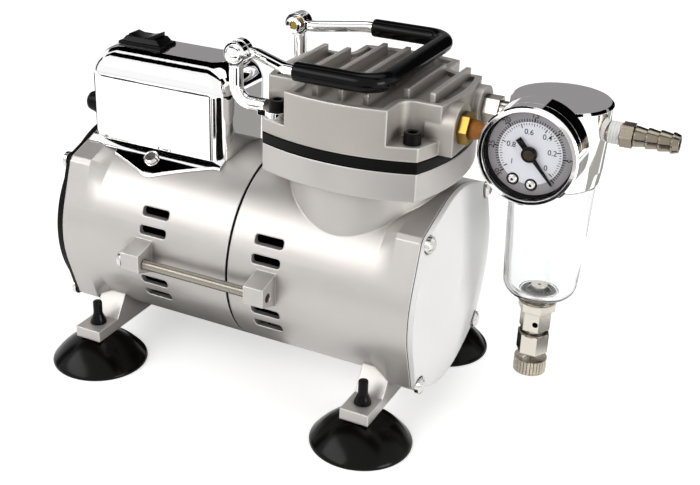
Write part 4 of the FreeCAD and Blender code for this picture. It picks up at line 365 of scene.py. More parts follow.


# Tie screws: one along each side, a long M5 screw threaded over its whole length, rolled from steel
# and nickel plated, duller than zinc. It pulls the housing halves together between their side lugs,
# under a domed head on a washer. Each turn of the thread is drawn as a plain ridge, and painted shade
# darkens the grooves between the ridges.
def turned(name, profile, centre, axis="Z", sides=64, closed=False, sharp=32.0):
    """A turned piece: a ring at the profile's first radius and height, pulled out ring by ring, in
    millimetres. Edges that turn by more than the sharp angle, in degrees, stay sharp."""
    deselect()
    radius, height = profile[0]
    bpy.ops.mesh.primitive_circle_add(vertices=sides, radius=radius * MM, fill_type="NOTHING")
    piece = bpy.context.object
    piece.name = name
    bpy.ops.object.mode_set(mode="EDIT")
    bpy.ops.mesh.select_all(action="SELECT")
    bpy.ops.transform.translate(value=(0.0, 0.0, height * MM))
    for next_radius, next_height in profile[1:]:
        rise = (0.0, 0.0, (next_height - height) * MM)
        bpy.ops.mesh.extrude_edges_move(TRANSFORM_OT_translate={"value": rise})
        grow = next_radius / radius
        bpy.ops.transform.resize(value=(grow, grow, 1.0), center_override=(0.0, 0.0, next_height * MM))
        radius, height = next_radius, next_height
    bpy.ops.mesh.select_all(action="SELECT")
    if closed:
        bpy.ops.mesh.remove_doubles(threshold=0.002 * MM)
    else:
        bpy.ops.mesh.fill_holes(sides=0)
    bpy.ops.mesh.select_all(action="SELECT")
    bpy.ops.mesh.normals_make_consistent(inside=False)
    bpy.ops.object.mode_set(mode="OBJECT")
    piece.rotation_euler = {"Z": (0.0, 0.0, 0.0), "X": (0.0, math.pi / 2, 0.0),
                            "Y": (math.pi / 2, 0.0, 0.0)}[axis]
    piece.location = from_seam(*centre)
    bpy.ops.object.transform_apply(location=True, rotation=True, scale=True)
    bpy.ops.object.shade_smooth_by_angle(angle=math.radians(sharp))
    return piece


def fit(piece, finish, body, slot, *nodes):
    """Gives a new piece its finish, its body and the CAD nodes it stands for, which it hides. The slot
    is not used.
    """
    piece.data.materials.clear()
    piece.data.materials.append(finish)
    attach(piece, body)
    if nodes:
        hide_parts(*nodes)


rolled_nickel = gritty_finish("rolled_nickel_plate", {"Metallic": 1.0}, grit=0.3, depth=0.006, rough=0.24,
                            spread=0.05, tones=("#8A857A", "#A39E94"), crevice=("#2E2A22", 0.7))
TIE_Y, THREAD_START, THREAD_TURNS = 57.0, -43.2, 74
THREAD_PITCH, THREAD_CREST, THREAD_ROOT = 0.8, 2.62, 2.3
THREAD_RIDGE = [(THREAD_ROOT, 0.0), (THREAD_CREST, 0.34), (THREAD_CREST, 0.46),
                (THREAD_ROOT, THREAD_PITCH)]
TIE_HEAD = [(5.3, -53.9), (5.3, -54.75), (4.75, -54.9), (4.6, -55.1), (4.6, -56.5), (4.1, -57.2),
            (3.1, -57.75), (1.7, -58.05), (0.3, -58.1)]
SIDES = ((-1, "front"), (1, "back"))
for side, label in SIDES:
    thread = turned(f"tie_thread_{label}", THREAD_RIDGE, (THREAD_START, side * TIE_Y, 0.0), "X",
                    sides=24, closed=True, sharp=80.0)
    row = thread.modifiers.new("pitches", "ARRAY")
    row.use_relative_offset = False
    row.use_constant_offset = True
    row.constant_offset_displace = (THREAD_PITCH * MM, 0.0, 0.0)
    row.count = THREAD_TURNS
    row.use_merge_vertices = True
    row.merge_threshold = 0.01 * MM
    bpy.ops.object.modifier_apply(modifier="pitches")
    fit(thread, rolled_nickel, "pump", "zinc_steel")
dress(rolled_nickel, "tie_screws")
for side, label in SIDES:
    head = turned(f"tie_screw_head_{label}", TIE_HEAD, (0.0, side * TIE_Y, 0.0), "X", sides=40,
                  sharp=40.0)
    fit(head, zinc_plate, "pump", "zinc_steel")


# Suction feet: one glossy black rubber moulding each, a thin-lipped dome over a hollow, a neck in
# the foot arm's hole, and above it a flared lock and the stem that it was pulled through by. The
# CAD piece that holds all four is hidden.
moulded_rubber = gritty_finish("glossy_black_rubber",
                             {"Base Color": linear("#080706"), "Specular IOR Level": 0.12}, grit=0.9,
                             depth=0.012, rough=0.20, spread=0.05)
FOOT_DOME = [(0.3, 10.2), (9.0, 9.3), (15.0, 6.3), (20.0, 2.6), (23.2, 0.0), (24.2, 0.0), (24.9, 0.25),
             (25.0, 0.9), (24.7, 1.6), (24.0, 2.5), (22.4, 4.4), (20.2, 6.8), (17.6, 9.2), (14.6, 11.5),
             (11.6, 13.4), (9.4, 14.5), (8.2, 15.1), (7.6, 15.6), (7.2, 15.7), (3.3, 15.7), (3.3, 21.6),
             (4.0, 21.6), (4.2, 21.9), (4.15, 22.7), (3.4, 24.6), (2.6, 26.6), (2.4, 27.6), (2.4, 33.2),
             (2.25, 33.7), (1.8, 34.0), (0.3, 34.0)]
REAR_FEET_X, FRONT_FEET_X, FEET_Y, FLOOR_Z = -77.8, 76.2, 52.1, -66.5
for x, end in ((REAR_FEET_X, "rear"), (FRONT_FEET_X, "front")):
    for y, side in ((-FEET_Y, "near"), (FEET_Y, "far")):
        foot = turned(f"suction_foot_{end}_{side}", FOOT_DOME, (x, y, FLOOR_Z), sides=72, sharp=50.0)
        fit(foot, moulded_rubber, "pump", "black_rubber")
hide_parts("suction_feet")


# Cylinder head: the same casting alloy, finned on top, with notched corners for the socket cap
# screws and round port bosses at the side. Its blasted skin is a little warmer and darker, with
# painted shade darkening its corners and a painted highlight along its edges.
head_casting = gritty_finish("blasted_cast_head", {"Metallic": 0.55}, grit=0.35, depth=0.03, rough=0.40,
                           spread=0.03, tones=("#B5AFA9", "#C0BBB5"), edge=1.4,
                           crevice=("#665F58", 7.0), rim="#F0EDEA")
dress(head_casting, "cylinder_head")


# Handle posts and folding rod: drawn steel rod, bent, flattened at the eyes, polished and chrome
# plated, a clear mirror with a slight waviness. The pins that they hinge on are turned brass, warm,
# with painted shade darkening their corners, and with a chromed cap on the near one and a thin washer
# on the far one.
chrome_plate = gritty_finish("polished_chrome_plate", {"Base Color": linear("#FAFAFA"), "Metallic": 1.0},
                           grit=6.0, depth=0.012, rough=0.045, spread=0.012, edge=0.3)
dress(chrome_plate, "handle_posts", "handle_bar")
turned_brass = gritty_finish("turned_brass", {"Metallic": 1.0}, grit=0.4, depth=0.008, rough=0.22,
                           spread=0.05, tones=("#8F7230", "#B3934C"), edge=0.3,
                           crevice=("#5A3E14", 4.0))
dress(turned_brass, "pivot_pins", "silencer_body")
PIVOT_X, PIVOT_Z, CAP_Y, WASHER_Y = -4.6, 107.3, -33.0, 23.8
CAP_DOME = [(4.3, 0.0), (4.45, 0.4), (4.4, 1.4), (3.9, 2.6), (3.0, 3.5), (1.8, 4.1), (0.3, 4.4)]
WASHER_RIM = [(2.0, -0.1), (4.15, -0.1), (4.2, 0.3), (3.9, 0.7), (2.3, 0.75), (2.0, 0.5), (2.0, -0.1)]
pin_cap = turned("pivot_pin_cap", CAP_DOME, (PIVOT_X, CAP_Y, PIVOT_Z), "Y", sides=48, sharp=50.0)
fit(pin_cap, chrome_plate, "pump", "chrome")
pin_washer = turned("pivot_pin_washer", WASHER_RIM, (PIVOT_X, WASHER_Y, PIVOT_Z), "Y", sides=48,
                    closed=True, sharp=40.0)
fit(pin_washer, chrome_plate, "pump", "chrome")


# Handle grip: a soft black vinyl sleeve dipped over the rod's crossbar and both corners, glossy,
# with rounded ends that stand a little proud of the rod.
GRIP_Y, GRIP_START, GRIP_BAR, GRIP_BEND = 41.4, 31.2, 71.3, 10.0
INNER_R, LIP_R, SHOULDER_R, GRIP_R = 3.0, 3.7, 4.2, 4.4
TUCK_IN, LIP_DEPTH, SHOULDER_DEPTH = 0.6, 0.25, 1.0
LEG_STEPS, CORNER_STEPS, BAR_STEPS = 4, 10, 8
deselect()
bpy.ops.mesh.primitive_circle_add(vertices=32, radius=INNER_R * MM, fill_type="NOTHING",
                                  rotation=(0.0, math.pi / 2, 0.0))
grip = bpy.context.object
grip.name = "handle_grip_sleeve"
bpy.ops.object.transform_apply(location=False, rotation=True, scale=False)
grip.location = from_seam(GRIP_START + TUCK_IN, -GRIP_Y, PIVOT_Z)
bpy.ops.object.transform_apply(location=True, rotation=False, scale=False)
bpy.ops.object.mode_set(mode="EDIT")
bpy.ops.mesh.select_all(action="SELECT")


def pull_ring(x, y, z, grow=1.0, centre=None):
    """Extrudes the open ring by a step in millimetres and then grows it about its new centre."""
    bpy.ops.mesh.extrude_edges_move(TRANSFORM_OT_translate={"value": (x * MM, y * MM, z * MM)})
    if grow != 1.0:
        bpy.ops.transform.resize(value=(grow, grow, grow), center_override=from_seam(*centre))


def turn_corner(side):
    """Spins the open ring round the upright axis of the bend on one side, -1 near or 1 far."""
    centre = (GRIP_BAR - GRIP_BEND, side * (GRIP_Y - GRIP_BEND), PIVOT_Z)
    bpy.ops.mesh.spin(steps=CORNER_STEPS, angle=math.radians(-90.0), center=from_seam(*centre),
                      axis=(0.0, 0.0, 1.0))


pull_ring(-TUCK_IN, 0.0, 0.0, LIP_R / INNER_R, (GRIP_START, -GRIP_Y, PIVOT_Z))
pull_ring(LIP_DEPTH, 0.0, 0.0, SHOULDER_R / LIP_R, (GRIP_START + LIP_DEPTH, -GRIP_Y, PIVOT_Z))
pull_ring(SHOULDER_DEPTH - LIP_DEPTH, 0.0, 0.0, GRIP_R / SHOULDER_R,
          (GRIP_START + SHOULDER_DEPTH, -GRIP_Y, PIVOT_Z))
LEG = GRIP_BAR - GRIP_BEND - GRIP_START - SHOULDER_DEPTH
for step in range(LEG_STEPS):
    pull_ring(LEG / LEG_STEPS, 0.0, 0.0)
turn_corner(-1)
for step in range(BAR_STEPS):
    pull_ring(0.0, 2 * (GRIP_Y - GRIP_BEND) / BAR_STEPS, 0.0)
turn_corner(1)
for step in range(LEG_STEPS):
    pull_ring(-LEG / LEG_STEPS, 0.0, 0.0)
pull_ring(LIP_DEPTH - SHOULDER_DEPTH, 0.0, 0.0, SHOULDER_R / GRIP_R,
          (GRIP_START + LIP_DEPTH, GRIP_Y, PIVOT_Z))
pull_ring(-LIP_DEPTH, 0.0, 0.0, LIP_R / SHOULDER_R, (GRIP_START, GRIP_Y, PIVOT_Z))
pull_ring(TUCK_IN, 0.0, 0.0, INNER_R / LIP_R, (GRIP_START + TUCK_IN, GRIP_Y, PIVOT_Z))
bpy.ops.mesh.select_all(action="SELECT")
bpy.ops.mesh.fill_holes(sides=0)
bpy.ops.mesh.select_all(action="SELECT")
bpy.ops.mesh.normals_make_consistent(inside=False)
bpy.ops.object.mode_set(mode="OBJECT")
bpy.ops.object.shade_smooth_by_angle(angle=math.radians(50))
dipped_vinyl = gritty_finish("dipped_black_vinyl",
                           {"Base Color": linear("#080808"), "Specular IOR Level": 0.12}, grit=2.5,
                           depth=0.02, rough=0.16, spread=0.04)
fit(grip, dipped_vinyl, "handle", "black_rubber", "handle_grip")


# Switch box: a deep-drawn steel shell over the capacitor and wiring, its edges rounded in one
# press, with a lip and a V flap on each side that a screw holds, polished and chrome plated. The
# trap's head, turned from bar, and the gauge's pressed case and bezel have the same mirror plate.
dress(chrome_plate, "switch_box", "trap_head", "gauge_bezel", "gauge_case")


# Switch: a black moulded flange with sloping shoulders in the box's top, and a dished rocker that
# tips on a pin, both with a soft shine. The strain relief of the supply cord is a blunt ribbed bump
# in the box's rear end.
moulded_plastic = gritty_finish("black_moulded_plastic",
                              {"Base Color": linear("#070606"), "Specular IOR Level": 0.10}, grit=0.5,
                              depth=0.008, rough=0.25, spread=0.05, edge=0.2)
SWITCH_X, BOX_TOP = -76.5, 93.0


def block(name, length, width, low, high, top_length, top_width):
    """A moulded block on the box's top between two heights, with a top face of its own size. It is
    left in edit mode with that face selected."""
    deselect()
    bpy.ops.mesh.primitive_cube_add(size=1.0, scale=(length * MM, width * MM, (high - low) * MM),
                                    location=from_seam(SWITCH_X, 0.0, BOX_TOP + (low + high) / 2))
    made = bpy.context.object
    made.name = name
    bpy.ops.object.transform_apply(location=True, rotation=True, scale=True)
    bpy.ops.object.mode_set(mode="EDIT")
    bpy.ops.mesh.select_mode(type="FACE")
    bpy.ops.mesh.select_all(action="DESELECT")
    bpy.ops.object.mode_set(mode="OBJECT")
    for face in made.data.polygons:
        face.select = face.normal.z > 0.9
    bpy.ops.object.mode_set(mode="EDIT")
    bpy.ops.transform.resize(value=(top_length / length, top_width / width, 1.0),
                             center_override=from_seam(SWITCH_X, 0.0, BOX_TOP + high))
    return made


def round_edges(piece, width):
    """Rounds every sharp edge of a piece by a width in millimetres and smooths what is left."""
    deselect()
    piece.select_set(True)
    bpy.context.view_layer.objects.active = piece
    edges = piece.modifiers.new("edges", "BEVEL")
    edges.width = width * MM
    edges.segments = 3
    edges.limit_method = "ANGLE"
    edges.angle_limit = math.radians(25)
    bpy.ops.object.modifier_apply(modifier="edges")
    bpy.ops.object.shade_smooth_by_angle(angle=math.radians(40))


FRAME_TOP, SHOULDER_HEIGHT, SHOULDER_TOP, WELL_DEPTH = 1.5, 2.6, 4.1, 1.6
flange = block("switch_flange", 25.8, 14.8, 0.0, FRAME_TOP, 25.2, 14.2)
bpy.ops.mesh.inset(thickness=1.1 * MM)
bpy.ops.mesh.extrude_region_move(TRANSFORM_OT_translate={"value": (0.0, 0.0, SHOULDER_HEIGHT * MM)})
bpy.ops.transform.resize(value=(0.80, 0.88, 1.0),
                         center_override=from_seam(SWITCH_X, 0.0, BOX_TOP + SHOULDER_TOP))
bpy.ops.mesh.inset(thickness=0.45 * MM)
bpy.ops.mesh.extrude_region_move(TRANSFORM_OT_translate={"value": (0.0, 0.0, -WELL_DEPTH * MM)})
deselect()
round_edges(flange, 0.3)
fit(flange, moulded_plastic, "pump", "black_plastic", "switch_housing")
ROCKER_HALF, DISH_CUTS, DISH_RISE, DISH_TILT, DISH_SINK = 8.0, 9, 1.7, 0.075, 0.5
rocker = block("switch_rocker_cap", 15.4, 9.6, 1.6, 4.6, 2 * ROCKER_HALF, 9.4)
bpy.ops.mesh.select_mode(type="EDGE")
bpy.ops.mesh.select_all(action="DESELECT")
bpy.ops.object.mode_set(mode="OBJECT")
for edge in rocker.data.edges:
    ends = [rocker.data.vertices[index].co for index in edge.vertices]
    edge.select = abs(ends[0].x - ends[1].x) > 10.0 * MM
bpy.ops.object.mode_set(mode="EDIT")
bpy.ops.mesh.subdivide(number_cuts=DISH_CUTS)
bpy.ops.mesh.select_mode(type="VERT")
middle = from_seam(SWITCH_X, 0.0, BOX_TOP)
COLUMN_WIDTH = 1.6
for column in range(DISH_CUTS + 2):
    across = -ROCKER_HALF + COLUMN_WIDTH * column
    bpy.ops.mesh.select_all(action="DESELECT")
    bpy.ops.object.mode_set(mode="OBJECT")
    for vertex in rocker.data.vertices:
        offset = vertex.co - middle
        vertex.select = offset.z > 4.0 * MM and abs(offset.x / MM - across) < 0.75
    bpy.ops.object.mode_set(mode="EDIT")
    dish = DISH_RISE * (across / ROCKER_HALF) ** 2 + DISH_TILT * across - DISH_SINK
    bpy.ops.transform.translate(value=(0.0, 0.0, dish * MM))
deselect()
round_edges(rocker, 0.25)
fit(rocker, moulded_plastic, "switch", "black_plastic", "rocker")
GLAND_PLACE = (-99.2, -12.0, 61.2)
GLAND_RIBS = [(0.3, -2.7), (6.25, -2.7), (6.3, -2.4), (6.3, 0.1), (5.5, 0.3), (5.35, 0.9), (5.5, 1.5),
              (5.5, 2.2), (5.2, 2.4), (5.0, 2.8), (5.2, 3.3), (5.1, 4.1), (4.7, 5.2), (3.9, 5.9),
              (2.6, 6.2), (0.3, 6.2)]
gland = turned("strain_relief_gland", GLAND_RIBS, GLAND_PLACE, "X", sides=48, sharp=50.0)
bpy.ops.object.mode_set(mode="EDIT")
bpy.ops.mesh.select_all(action="SELECT")
bpy.ops.transform.resize(value=(-1.0, 1.0, 1.0), center_override=from_seam(*GLAND_PLACE))
bpy.ops.mesh.normals_make_consistent(inside=False)
bpy.ops.object.mode_set(mode="OBJECT")
fit(gland, moulded_plastic, "pump", "black_plastic", "strain_relief")


# Exhaust silencer: a porous cone of sintered bronze beads pressed into a brass hexagon; brown,
# rough and matt, with the beads drawn coarse enough to show, and painted shade darkening its corners.
sintered_bronze = gritty_finish("sintered_bronze", {"Metallic": 0.75}, grit=0.8, depth=0.5, rough=0.5,
                              spread=0.05, tones=("#6E3F1C", "#B87A3C"), crevice=("#2A170A", 2.0))
dress(sintered_bronze, "silencer_element")


# Water trap's bowl: a clear polycarbonate moulding with an even wall, a rounded shoulder, a dome
# at the bottom and a short skirt round the drain, so clear that little more than its edges shows.
def clear_finish(name, code, bend, swirls, roughest):
    """A clear material that bends light by an IOR, with so many soft swirls of shine to the metre."""
    made, tree, skin = new_finish(name, {"Base Color": linear(code), "Transmission Weight": 1.0,
                                         "IOR": bend})
    place = add_node(tree, "ShaderNodeTexCoord")
    flow = add_node(tree, "ShaderNodeTexNoise", {"Vector": place.outputs["Object"], "Scale": swirls,
                                                 "Detail": 2.0})
    flow_map = add_node(tree, "ShaderNodeMapRange", {"Value": flow.outputs["Fac"], "To Min": 0.0,
                                                     "To Max": roughest})
    tree.links.new(flow_map.outputs["Result"], skin.inputs["Roughness"])
    return made


clear_polycarbonate = clear_finish("clear_polycarbonate", "#FAFBFB", 1.5, 60.0, 0.03)
BOWL_WALL = [(18.7, 67.0), (18.7, 58.6), (19.2, 58.1), (19.5, 57.4), (19.5, 56.0), (18.9, 38.0),
             (18.2, 20.0), (17.6, 7.5), (17.4, 5.4), (16.7, 3.2), (15.2, 1.2), (13.2, 0.0),
             (11.4, -0.5), (9.9, -0.7), (9.7, -1.1), (9.7, -2.6), (9.5, -2.8), (9.2, -2.8),
             (9.0, -2.6), (9.0, -0.6), (5.7, -0.6), (5.7, 1.7), (10.6, 1.8), (12.4, 2.3),
             (14.0, 3.5), (15.0, 5.2), (15.4, 7.5), (16.0, 20.0), (16.7, 38.0), (17.2, 56.0),
             (16.9, 58.6), (16.9, 67.0), (18.7, 67.0)]
TRAP_X, TRAP_Y = 136.0, 15.0
bowl = turned("clear_bowl", BOWL_WALL, (TRAP_X, TRAP_Y, 0.0), sides=96, closed=True)
fit(bowl, clear_polycarbonate, "bowl_group", "clear_plastic", "bowl")


# Bleed valve under the bowl: washer ring, nuts, hexagon body and knurled knob, turned from brass bar
# and nickel plated, warm and pale. The hose barb, the ring and the nuts' collars have gone darker.
# Painted shade darkens the corners of the nickel parts, all but the knob.
# The knob's diamond knurl is drawn coarser than a real one, a ridge every 1.1 mm, so that it shows.
nickel_plate = gritty_finish("turned_nickel_plate", {"Metallic": 1.0}, grit=0.35, depth=0.006, rough=0.20,
                           spread=0.05, tones=("#CCC6BA", "#DAD5CB"), edge=0.35,
                           crevice=("#2C2618", 5.0))
dress(nickel_plate, "hex_nipple", "ring_nut", "bleed_valve", "lock_nut", "gauge_stem")
tarnished_nickel = gritty_finish("tarnished_nickel_plate", {"Metallic": 1.0}, grit=0.35, depth=0.006,
                               rough=0.18, spread=0.05, tones=("#7F7668", "#978E80"), edge=0.3,
                               crevice=("#3A3228", 2.6))
dress(tarnished_nickel, "hose_barb", "dial_screws", "bowl_ring")
COLLARS = (("ring_nut_collar", -4.7, -3.25, 9.4), ("lock_nut_collar", -22.9, -21.7, 7.2))
COLLAR_BORE, CHAMFER_IN, CHAMFER_UP = 5.6, 0.25, 0.3
for name, low, high, radius in COLLARS:
    rim = [(COLLAR_BORE, low), (radius - CHAMFER_IN, low), (radius, low + CHAMFER_UP),
           (radius, high - CHAMFER_UP), (radius - CHAMFER_IN, high), (COLLAR_BORE, high),
           (COLLAR_BORE, low)]
    collar = turned(name, rim, (TRAP_X, TRAP_Y, 0.0), closed=True)
    fit(collar, tarnished_nickel, "bowl_group", "nickel_brass")
knurled_nickel, tree, skin = new_finish("knurled_nickel_plate", {
    "Base Color": linear("#C2BAAB"), "Metallic": 1.0, "Roughness": 0.26})
KNOB_Z, KNURL_ROUND, KNURL_STEP, KNURL_DEPTH = -40.0, 44.0, 1.14, 0.2
knob_centre = from_seam(TRAP_X, TRAP_Y, KNOB_Z)
place = add_node(tree, "ShaderNodeTexCoord")
centred = add_node(tree, "ShaderNodeMapping", {"Vector": place.outputs["Object"],
                                               "Location": tuple(-knob_centre)})
parts = add_node(tree, "ShaderNodeSeparateXYZ", {"Vector": centred.outputs["Vector"]})
turn = add_node(tree, "ShaderNodeMath", {0: parts.outputs["Y"], 1: parts.outputs["X"]},
                operation="ARCTAN2")
around = add_node(tree, "ShaderNodeMath", {0: turn.outputs[0], 1: KNURL_ROUND}, operation="MULTIPLY")
along = add_node(tree, "ShaderNodeMath", {0: parts.outputs["Z"], 1: 2 * math.pi / (KNURL_STEP * MM)},
                 operation="MULTIPLY")
right_hand = add_node(tree, "ShaderNodeMath", {0: around.outputs[0], 1: along.outputs[0]},
                      operation="ADD")
left_hand = add_node(tree, "ShaderNodeMath", {0: around.outputs[0], 1: along.outputs[0]},
                     operation="SUBTRACT")
right_ridge = add_node(tree, "ShaderNodeMath", {0: right_hand.outputs[0]}, operation="SINE")
left_ridge = add_node(tree, "ShaderNodeMath", {0: left_hand.outputs[0]}, operation="SINE")
diamond = add_node(tree, "ShaderNodeMath", {0: right_ridge.outputs[0], 1: left_ridge.outputs[0]},
                   operation="MINIMUM")
teeth = add_node(tree, "ShaderNodeBump", {"Height": diamond.outputs[0], "Distance": KNURL_DEPTH * MM,
                                          "Strength": 1.0})
tree.links.new(teeth.outputs["Normal"], skin.inputs["Normal"])
dress(knurled_nickel, "bleed_knob")


# Hose barb's thread tape: white sealing tape wound round the taper thread, matt, its edges showing
# as low, uneven ribs beside the trap head.
wound_tape = gritty_finish("wound_white_tape",
                         {"Base Color": linear("#EDECE8"), "Specular IOR Level": 0.3}, grit=0.8,
                         depth=0.12, rough=0.5, spread=0.08)
BARB_Z = 85.5
TAPE_WRAPS = [(2.6, 158.7), (4.6, 158.7), (5.0, 159.0), (5.1, 159.4), (4.8, 159.8), (5.1, 160.2),
              (5.12, 160.7), (4.8, 161.1), (5.08, 161.5), (5.1, 162.0), (4.82, 162.4), (5.05, 162.8),
              (5.1, 163.3), (4.9, 163.7), (4.6, 164.1), (2.6, 164.1)]
tape = turned("wound_thread_tape", TAPE_WRAPS, (0.0, TRAP_Y, BARB_Z), "X", sides=48, sharp=60.0)
fit(tape, wound_tape, "pump", "white_tape", "thread_tape")


# Gauge: a flat glass over a dial of printed tin, matt white with a duller grey band round it, black
# scales and numbers, and two small screws on black washers that hold it. The glass bends light less
# than real glass does, so that the dial stays clear and undimmed behind it.
gauge_glass = clear_finish("gauge_window_glass", "#FFFFFF", 1.14, 90.0, 0.02)
dress(gauge_glass, "gauge_lens")
dial_white = gritty_finish("printed_dial_white", {"Specular IOR Level": 0.3}, grit=1.5, depth=0.004,
                         rough=0.45, spread=0.05, tones=("#D4D4DA", "#DEDEE3"))
dress(dial_white, "gauge_dial")
DIAL_X, DIAL_FRONT, DIAL_Z, DIAL_R, SCALE_R = 136.0, -26.5, 84.6, 19.6, 13.4
DIAL_PLACE = (DIAL_X, DIAL_FRONT, DIAL_Z)


def dial_point(radius, angle, proud):
    """A point over the dial by radius and angle from three o'clock, proud of its face, in mm."""
    turn = math.radians(angle)
    return from_seam(DIAL_X + radius * math.cos(turn), DIAL_FRONT - proud,
                     DIAL_Z + radius * math.sin(turn))


BAND_IN, BAND_OUT, BAND_BACK, BAND_FRONT = SCALE_R + 0.5, DIAL_R - 0.1, 0.02, 0.07
BAND_EDGE = [(BAND_IN, BAND_BACK), (BAND_IN, BAND_FRONT), (BAND_OUT, BAND_FRONT), (BAND_OUT, BAND_BACK),
             (BAND_IN, BAND_BACK)]
band = turned("dial_band", BAND_EDGE, DIAL_PLACE, "Y", sides=96, closed=True)
band_print = gritty_finish("grey_metallic_print", {"Metallic": 0.15, "Specular IOR Level": 0.2}, grit=0.6,
                         depth=0.006, rough=0.5, spread=0.05, tones=("#8A878A", "#A19EA0"))
fit(band, band_print, "pump", "dial_print")
dial_ink = gritty_finish("black_dial_ink", {"Base Color": linear("#1B1A1C"), "Specular IOR Level": 0.2},
                       grit=0.4, depth=0.004, rough=0.5, spread=0.05)
deselect()
bpy.ops.mesh.primitive_plane_add(size=1.0)
stroke = bpy.context.object
scale_lines = []


def mark(start, end, angle, width, proud):
    """Prints one scale line between two radii of the dial, as a copy of the first stroke."""
    line = stroke.copy()
    line.data = stroke.data.copy()
    bpy.context.scene.collection.objects.link(line)
    line.location = dial_point((start + end) / 2, angle, proud)
    line.rotation_euler = (math.pi / 2, math.radians(90.0 - angle), 0.0)
    line.scale = (width * MM, (end - start) * MM, 1.0)
    scale_lines.append(line)


OVER_WHITE, OVER_BAND = 0.04, 0.12
INNER_ZERO, INNER_SPAN, INNER_LINES = -39.0, 253.5, 50
for line in range(INNER_LINES + 1):
    long_line = line % 10 == 0
    middle_line = line % 5 == 0
    inside = SCALE_R - (1.9 if long_line else 1.3 if middle_line else 0.9)
    angle = INNER_ZERO + INNER_SPAN * line / INNER_LINES
    mark(inside, SCALE_R, angle, 0.45 if long_line else 0.30, OVER_WHITE)
OUTER_ZERO, OUTER_SPAN, OUTER_LINES = -44.0, 264.0, 60
for line in range(OUTER_LINES + 1):
    long_line = line % 10 == 0
    outside = SCALE_R + (2.6 if long_line else 1.9)
    angle = OUTER_ZERO + OUTER_SPAN * line / OUTER_LINES
    mark(SCALE_R + 0.55, outside, angle, 0.62 if long_line else 0.42, OVER_BAND)
deselect()
for line in scale_lines:
    line.select_set(True)
bpy.context.view_layer.objects.active = scale_lines[0]
bpy.ops.object.join()
marks = bpy.context.object
marks.name = "dial_marks"
bpy.ops.object.transform_apply(location=True, rotation=True, scale=True)
bpy.data.objects.remove(stroke)
fit(marks, dial_ink, "pump", "dial_print")


FONT_SCALE, INK_SPREAD = 1.35, 0.012


def numeral(text, radius, angle, size, lean, proud):
    """Prints one number of the dial as a flat mesh, leaning by so many degrees."""
    deselect()
    bpy.ops.object.text_add(location=(0.0, 0.0, 0.0))
    made = bpy.context.object
    made.data.body = text
    made.data.size = size * FONT_SCALE * MM
    made.data.align_x = "CENTER"
    made.data.align_y = "CENTER"
    made.data.offset = INK_SPREAD * size * MM
    made.data.resolution_u = 3
    bpy.ops.object.convert(target="MESH")
    made = bpy.context.object
    made.name = "dial_number_" + text.replace(".", "_") + f"_{int(radius)}"
    made.rotation_euler = (math.pi / 2, math.radians(-lean), 0.0)
    made.location = dial_point(radius, angle, proud)
    bpy.ops.object.transform_apply(location=True, rotation=True, scale=True)
    fit(made, dial_ink, "pump", "dial_print")


INNER_NUMBERS = (("0", 7.2, -5.1), ("0.2", 9.3, 1.9), ("0.4", 6.5, 8.3), ("0.6", -1.5, 9.3),
                 ("0.8", -8.6, 2.6), ("1", -7.6, -4.9))
for text, across, up_dial in INNER_NUMBERS:
    angle = math.degrees(math.atan2(up_dial, across))
    numeral(text, math.hypot(across, up_dial), angle, 2.5, 0.0, OVER_WHITE)
for step in range(1, 7):
    angle = OUTER_ZERO + OUTER_SPAN * step / 6
    numeral(str(5 * step), 17.0, angle, 2.6, angle - 90.0, OVER_BAND)

WASHER_EDGE = [(1.6, 0.02), (2.75, 0.02), (2.75, 0.16), (1.6, 0.16), (1.6, 0.02)]
SCREW_DOME = [(2.15, 0.1), (2.15, 0.6), (1.95, 0.95), (1.5, 1.2), (0.8, 1.35), (0.65, 1.3), (0.5, 0.9),
              (0.1, 0.85)]
for x, z, label in ((129.6, 72.0, "left"), (137.8, 70.8, "right")):
    washer = turned(f"dial_screw_washer_{label}", WASHER_EDGE, (x, DIAL_FRONT, z), "Y", sides=40,
                    closed=True)
    fit(washer, gasket_rubber, "pump", "black_rubber")
    screw = turned(f"dial_screw_head_{label}", SCREW_DOME, (x, DIAL_FRONT, z), "Y", sides=40,
                   sharp=50.0)
    fit(screw, zinc_plate, "pump", "zinc_steel")


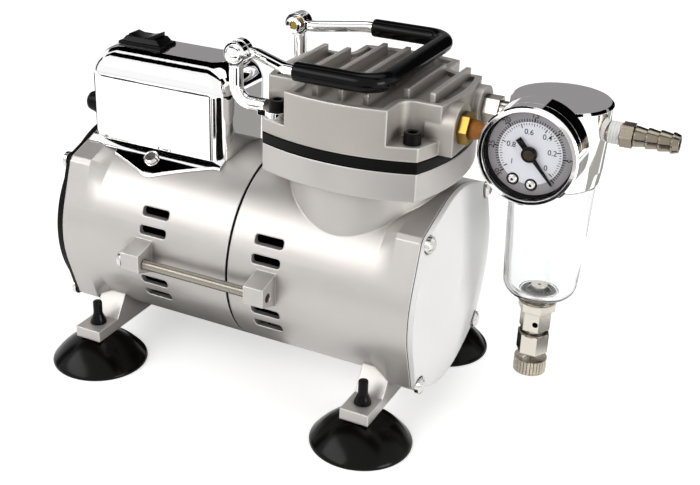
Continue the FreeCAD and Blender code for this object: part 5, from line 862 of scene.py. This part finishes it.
# Lens spacer: a black rubber ring that keeps the glass off the dial, and shows as a thin dark line.
# The needle's boss is turned and plated, and pressed on the needle's spindle.
SPACER_WALL = [(19.5, 0.1), (19.5, 2.95), (18.9, 2.95), (18.5, 0.1), (19.5, 0.1)]
spacer = turned("lens_spacer_ring", SPACER_WALL, DIAL_PLACE, "Y", sides=96, closed=True)
fit(spacer, gasket_rubber, "pump", "black_rubber")
NEEDLE_Y = -28.7
BOSS_STEP = [(2.3, 0.0), (2.3, 0.25), (2.1, 0.5), (0.9, 0.6), (0.75, 0.3), (0.2, 0.3)]
hub = turned("needle_hub_boss", BOSS_STEP, (DIAL_X, NEEDLE_Y, DIAL_Z), "Y", sides=40)
fit(hub, tarnished_nickel, "needle", "black_steel")


# Inside the castings: laminated motor cores, enamelled copper windings, ground steel shaft and
# bearings, moulded fan, piston seal and filter. They are finished too, though the slots show little.
stacked_lamination = gritty_finish("stacked_electrical_steel", {"Metallic": 1.0}, grit=0.5, depth=0.03,
                                 rough=0.4, spread=0.05, tones=("#4E4E50", "#66666A"))
dress(stacked_lamination, "stator_core", "rotor_core")
enamelled_copper = gritty_finish("enamelled_copper_wire", {"Metallic": 0.9}, grit=0.9, depth=0.2,
                               rough=0.35, spread=0.05, tones=("#42200F", "#5C2E18"))
dress(enamelled_copper, "stator_windings")
ground_steel = gritty_finish("ground_bearing_steel", {"Base Color": linear("#B8B8BA"), "Metallic": 1.0},
                           grit=0.3, depth=0.005, rough=0.2, spread=0.05)
dress(ground_steel, "shaft_bearings", "shaft", "crank", "rod_bearing", "seal_clamp", "cylinder_sleeve",
      "valve_reeds")
filled_seal = gritty_finish("filled_seal_plastic", {"Base Color": linear("#332C28")}, grit=0.6,
                          depth=0.01, rough=0.5, spread=0.05)
dress(filled_seal, "cup_seal")
pressed_felt = gritty_finish("pressed_filter_felt", {"Specular IOR Level": 0.1}, grit=0.5, depth=0.3,
                           rough=0.9, spread=0.05, tones=("#D8D6CE", "#EAE8E2"))
dress(pressed_felt, "trap_filter")
fan_nylon = gritty_finish("moulded_black_nylon",
                        {"Base Color": linear("#141416"), "Specular IOR Level": 0.3}, grit=0.5,
                        depth=0.02, rough=0.45, spread=0.05)
dress(fan_nylon, "cooling_fan", "capacitor", "filter_holder")
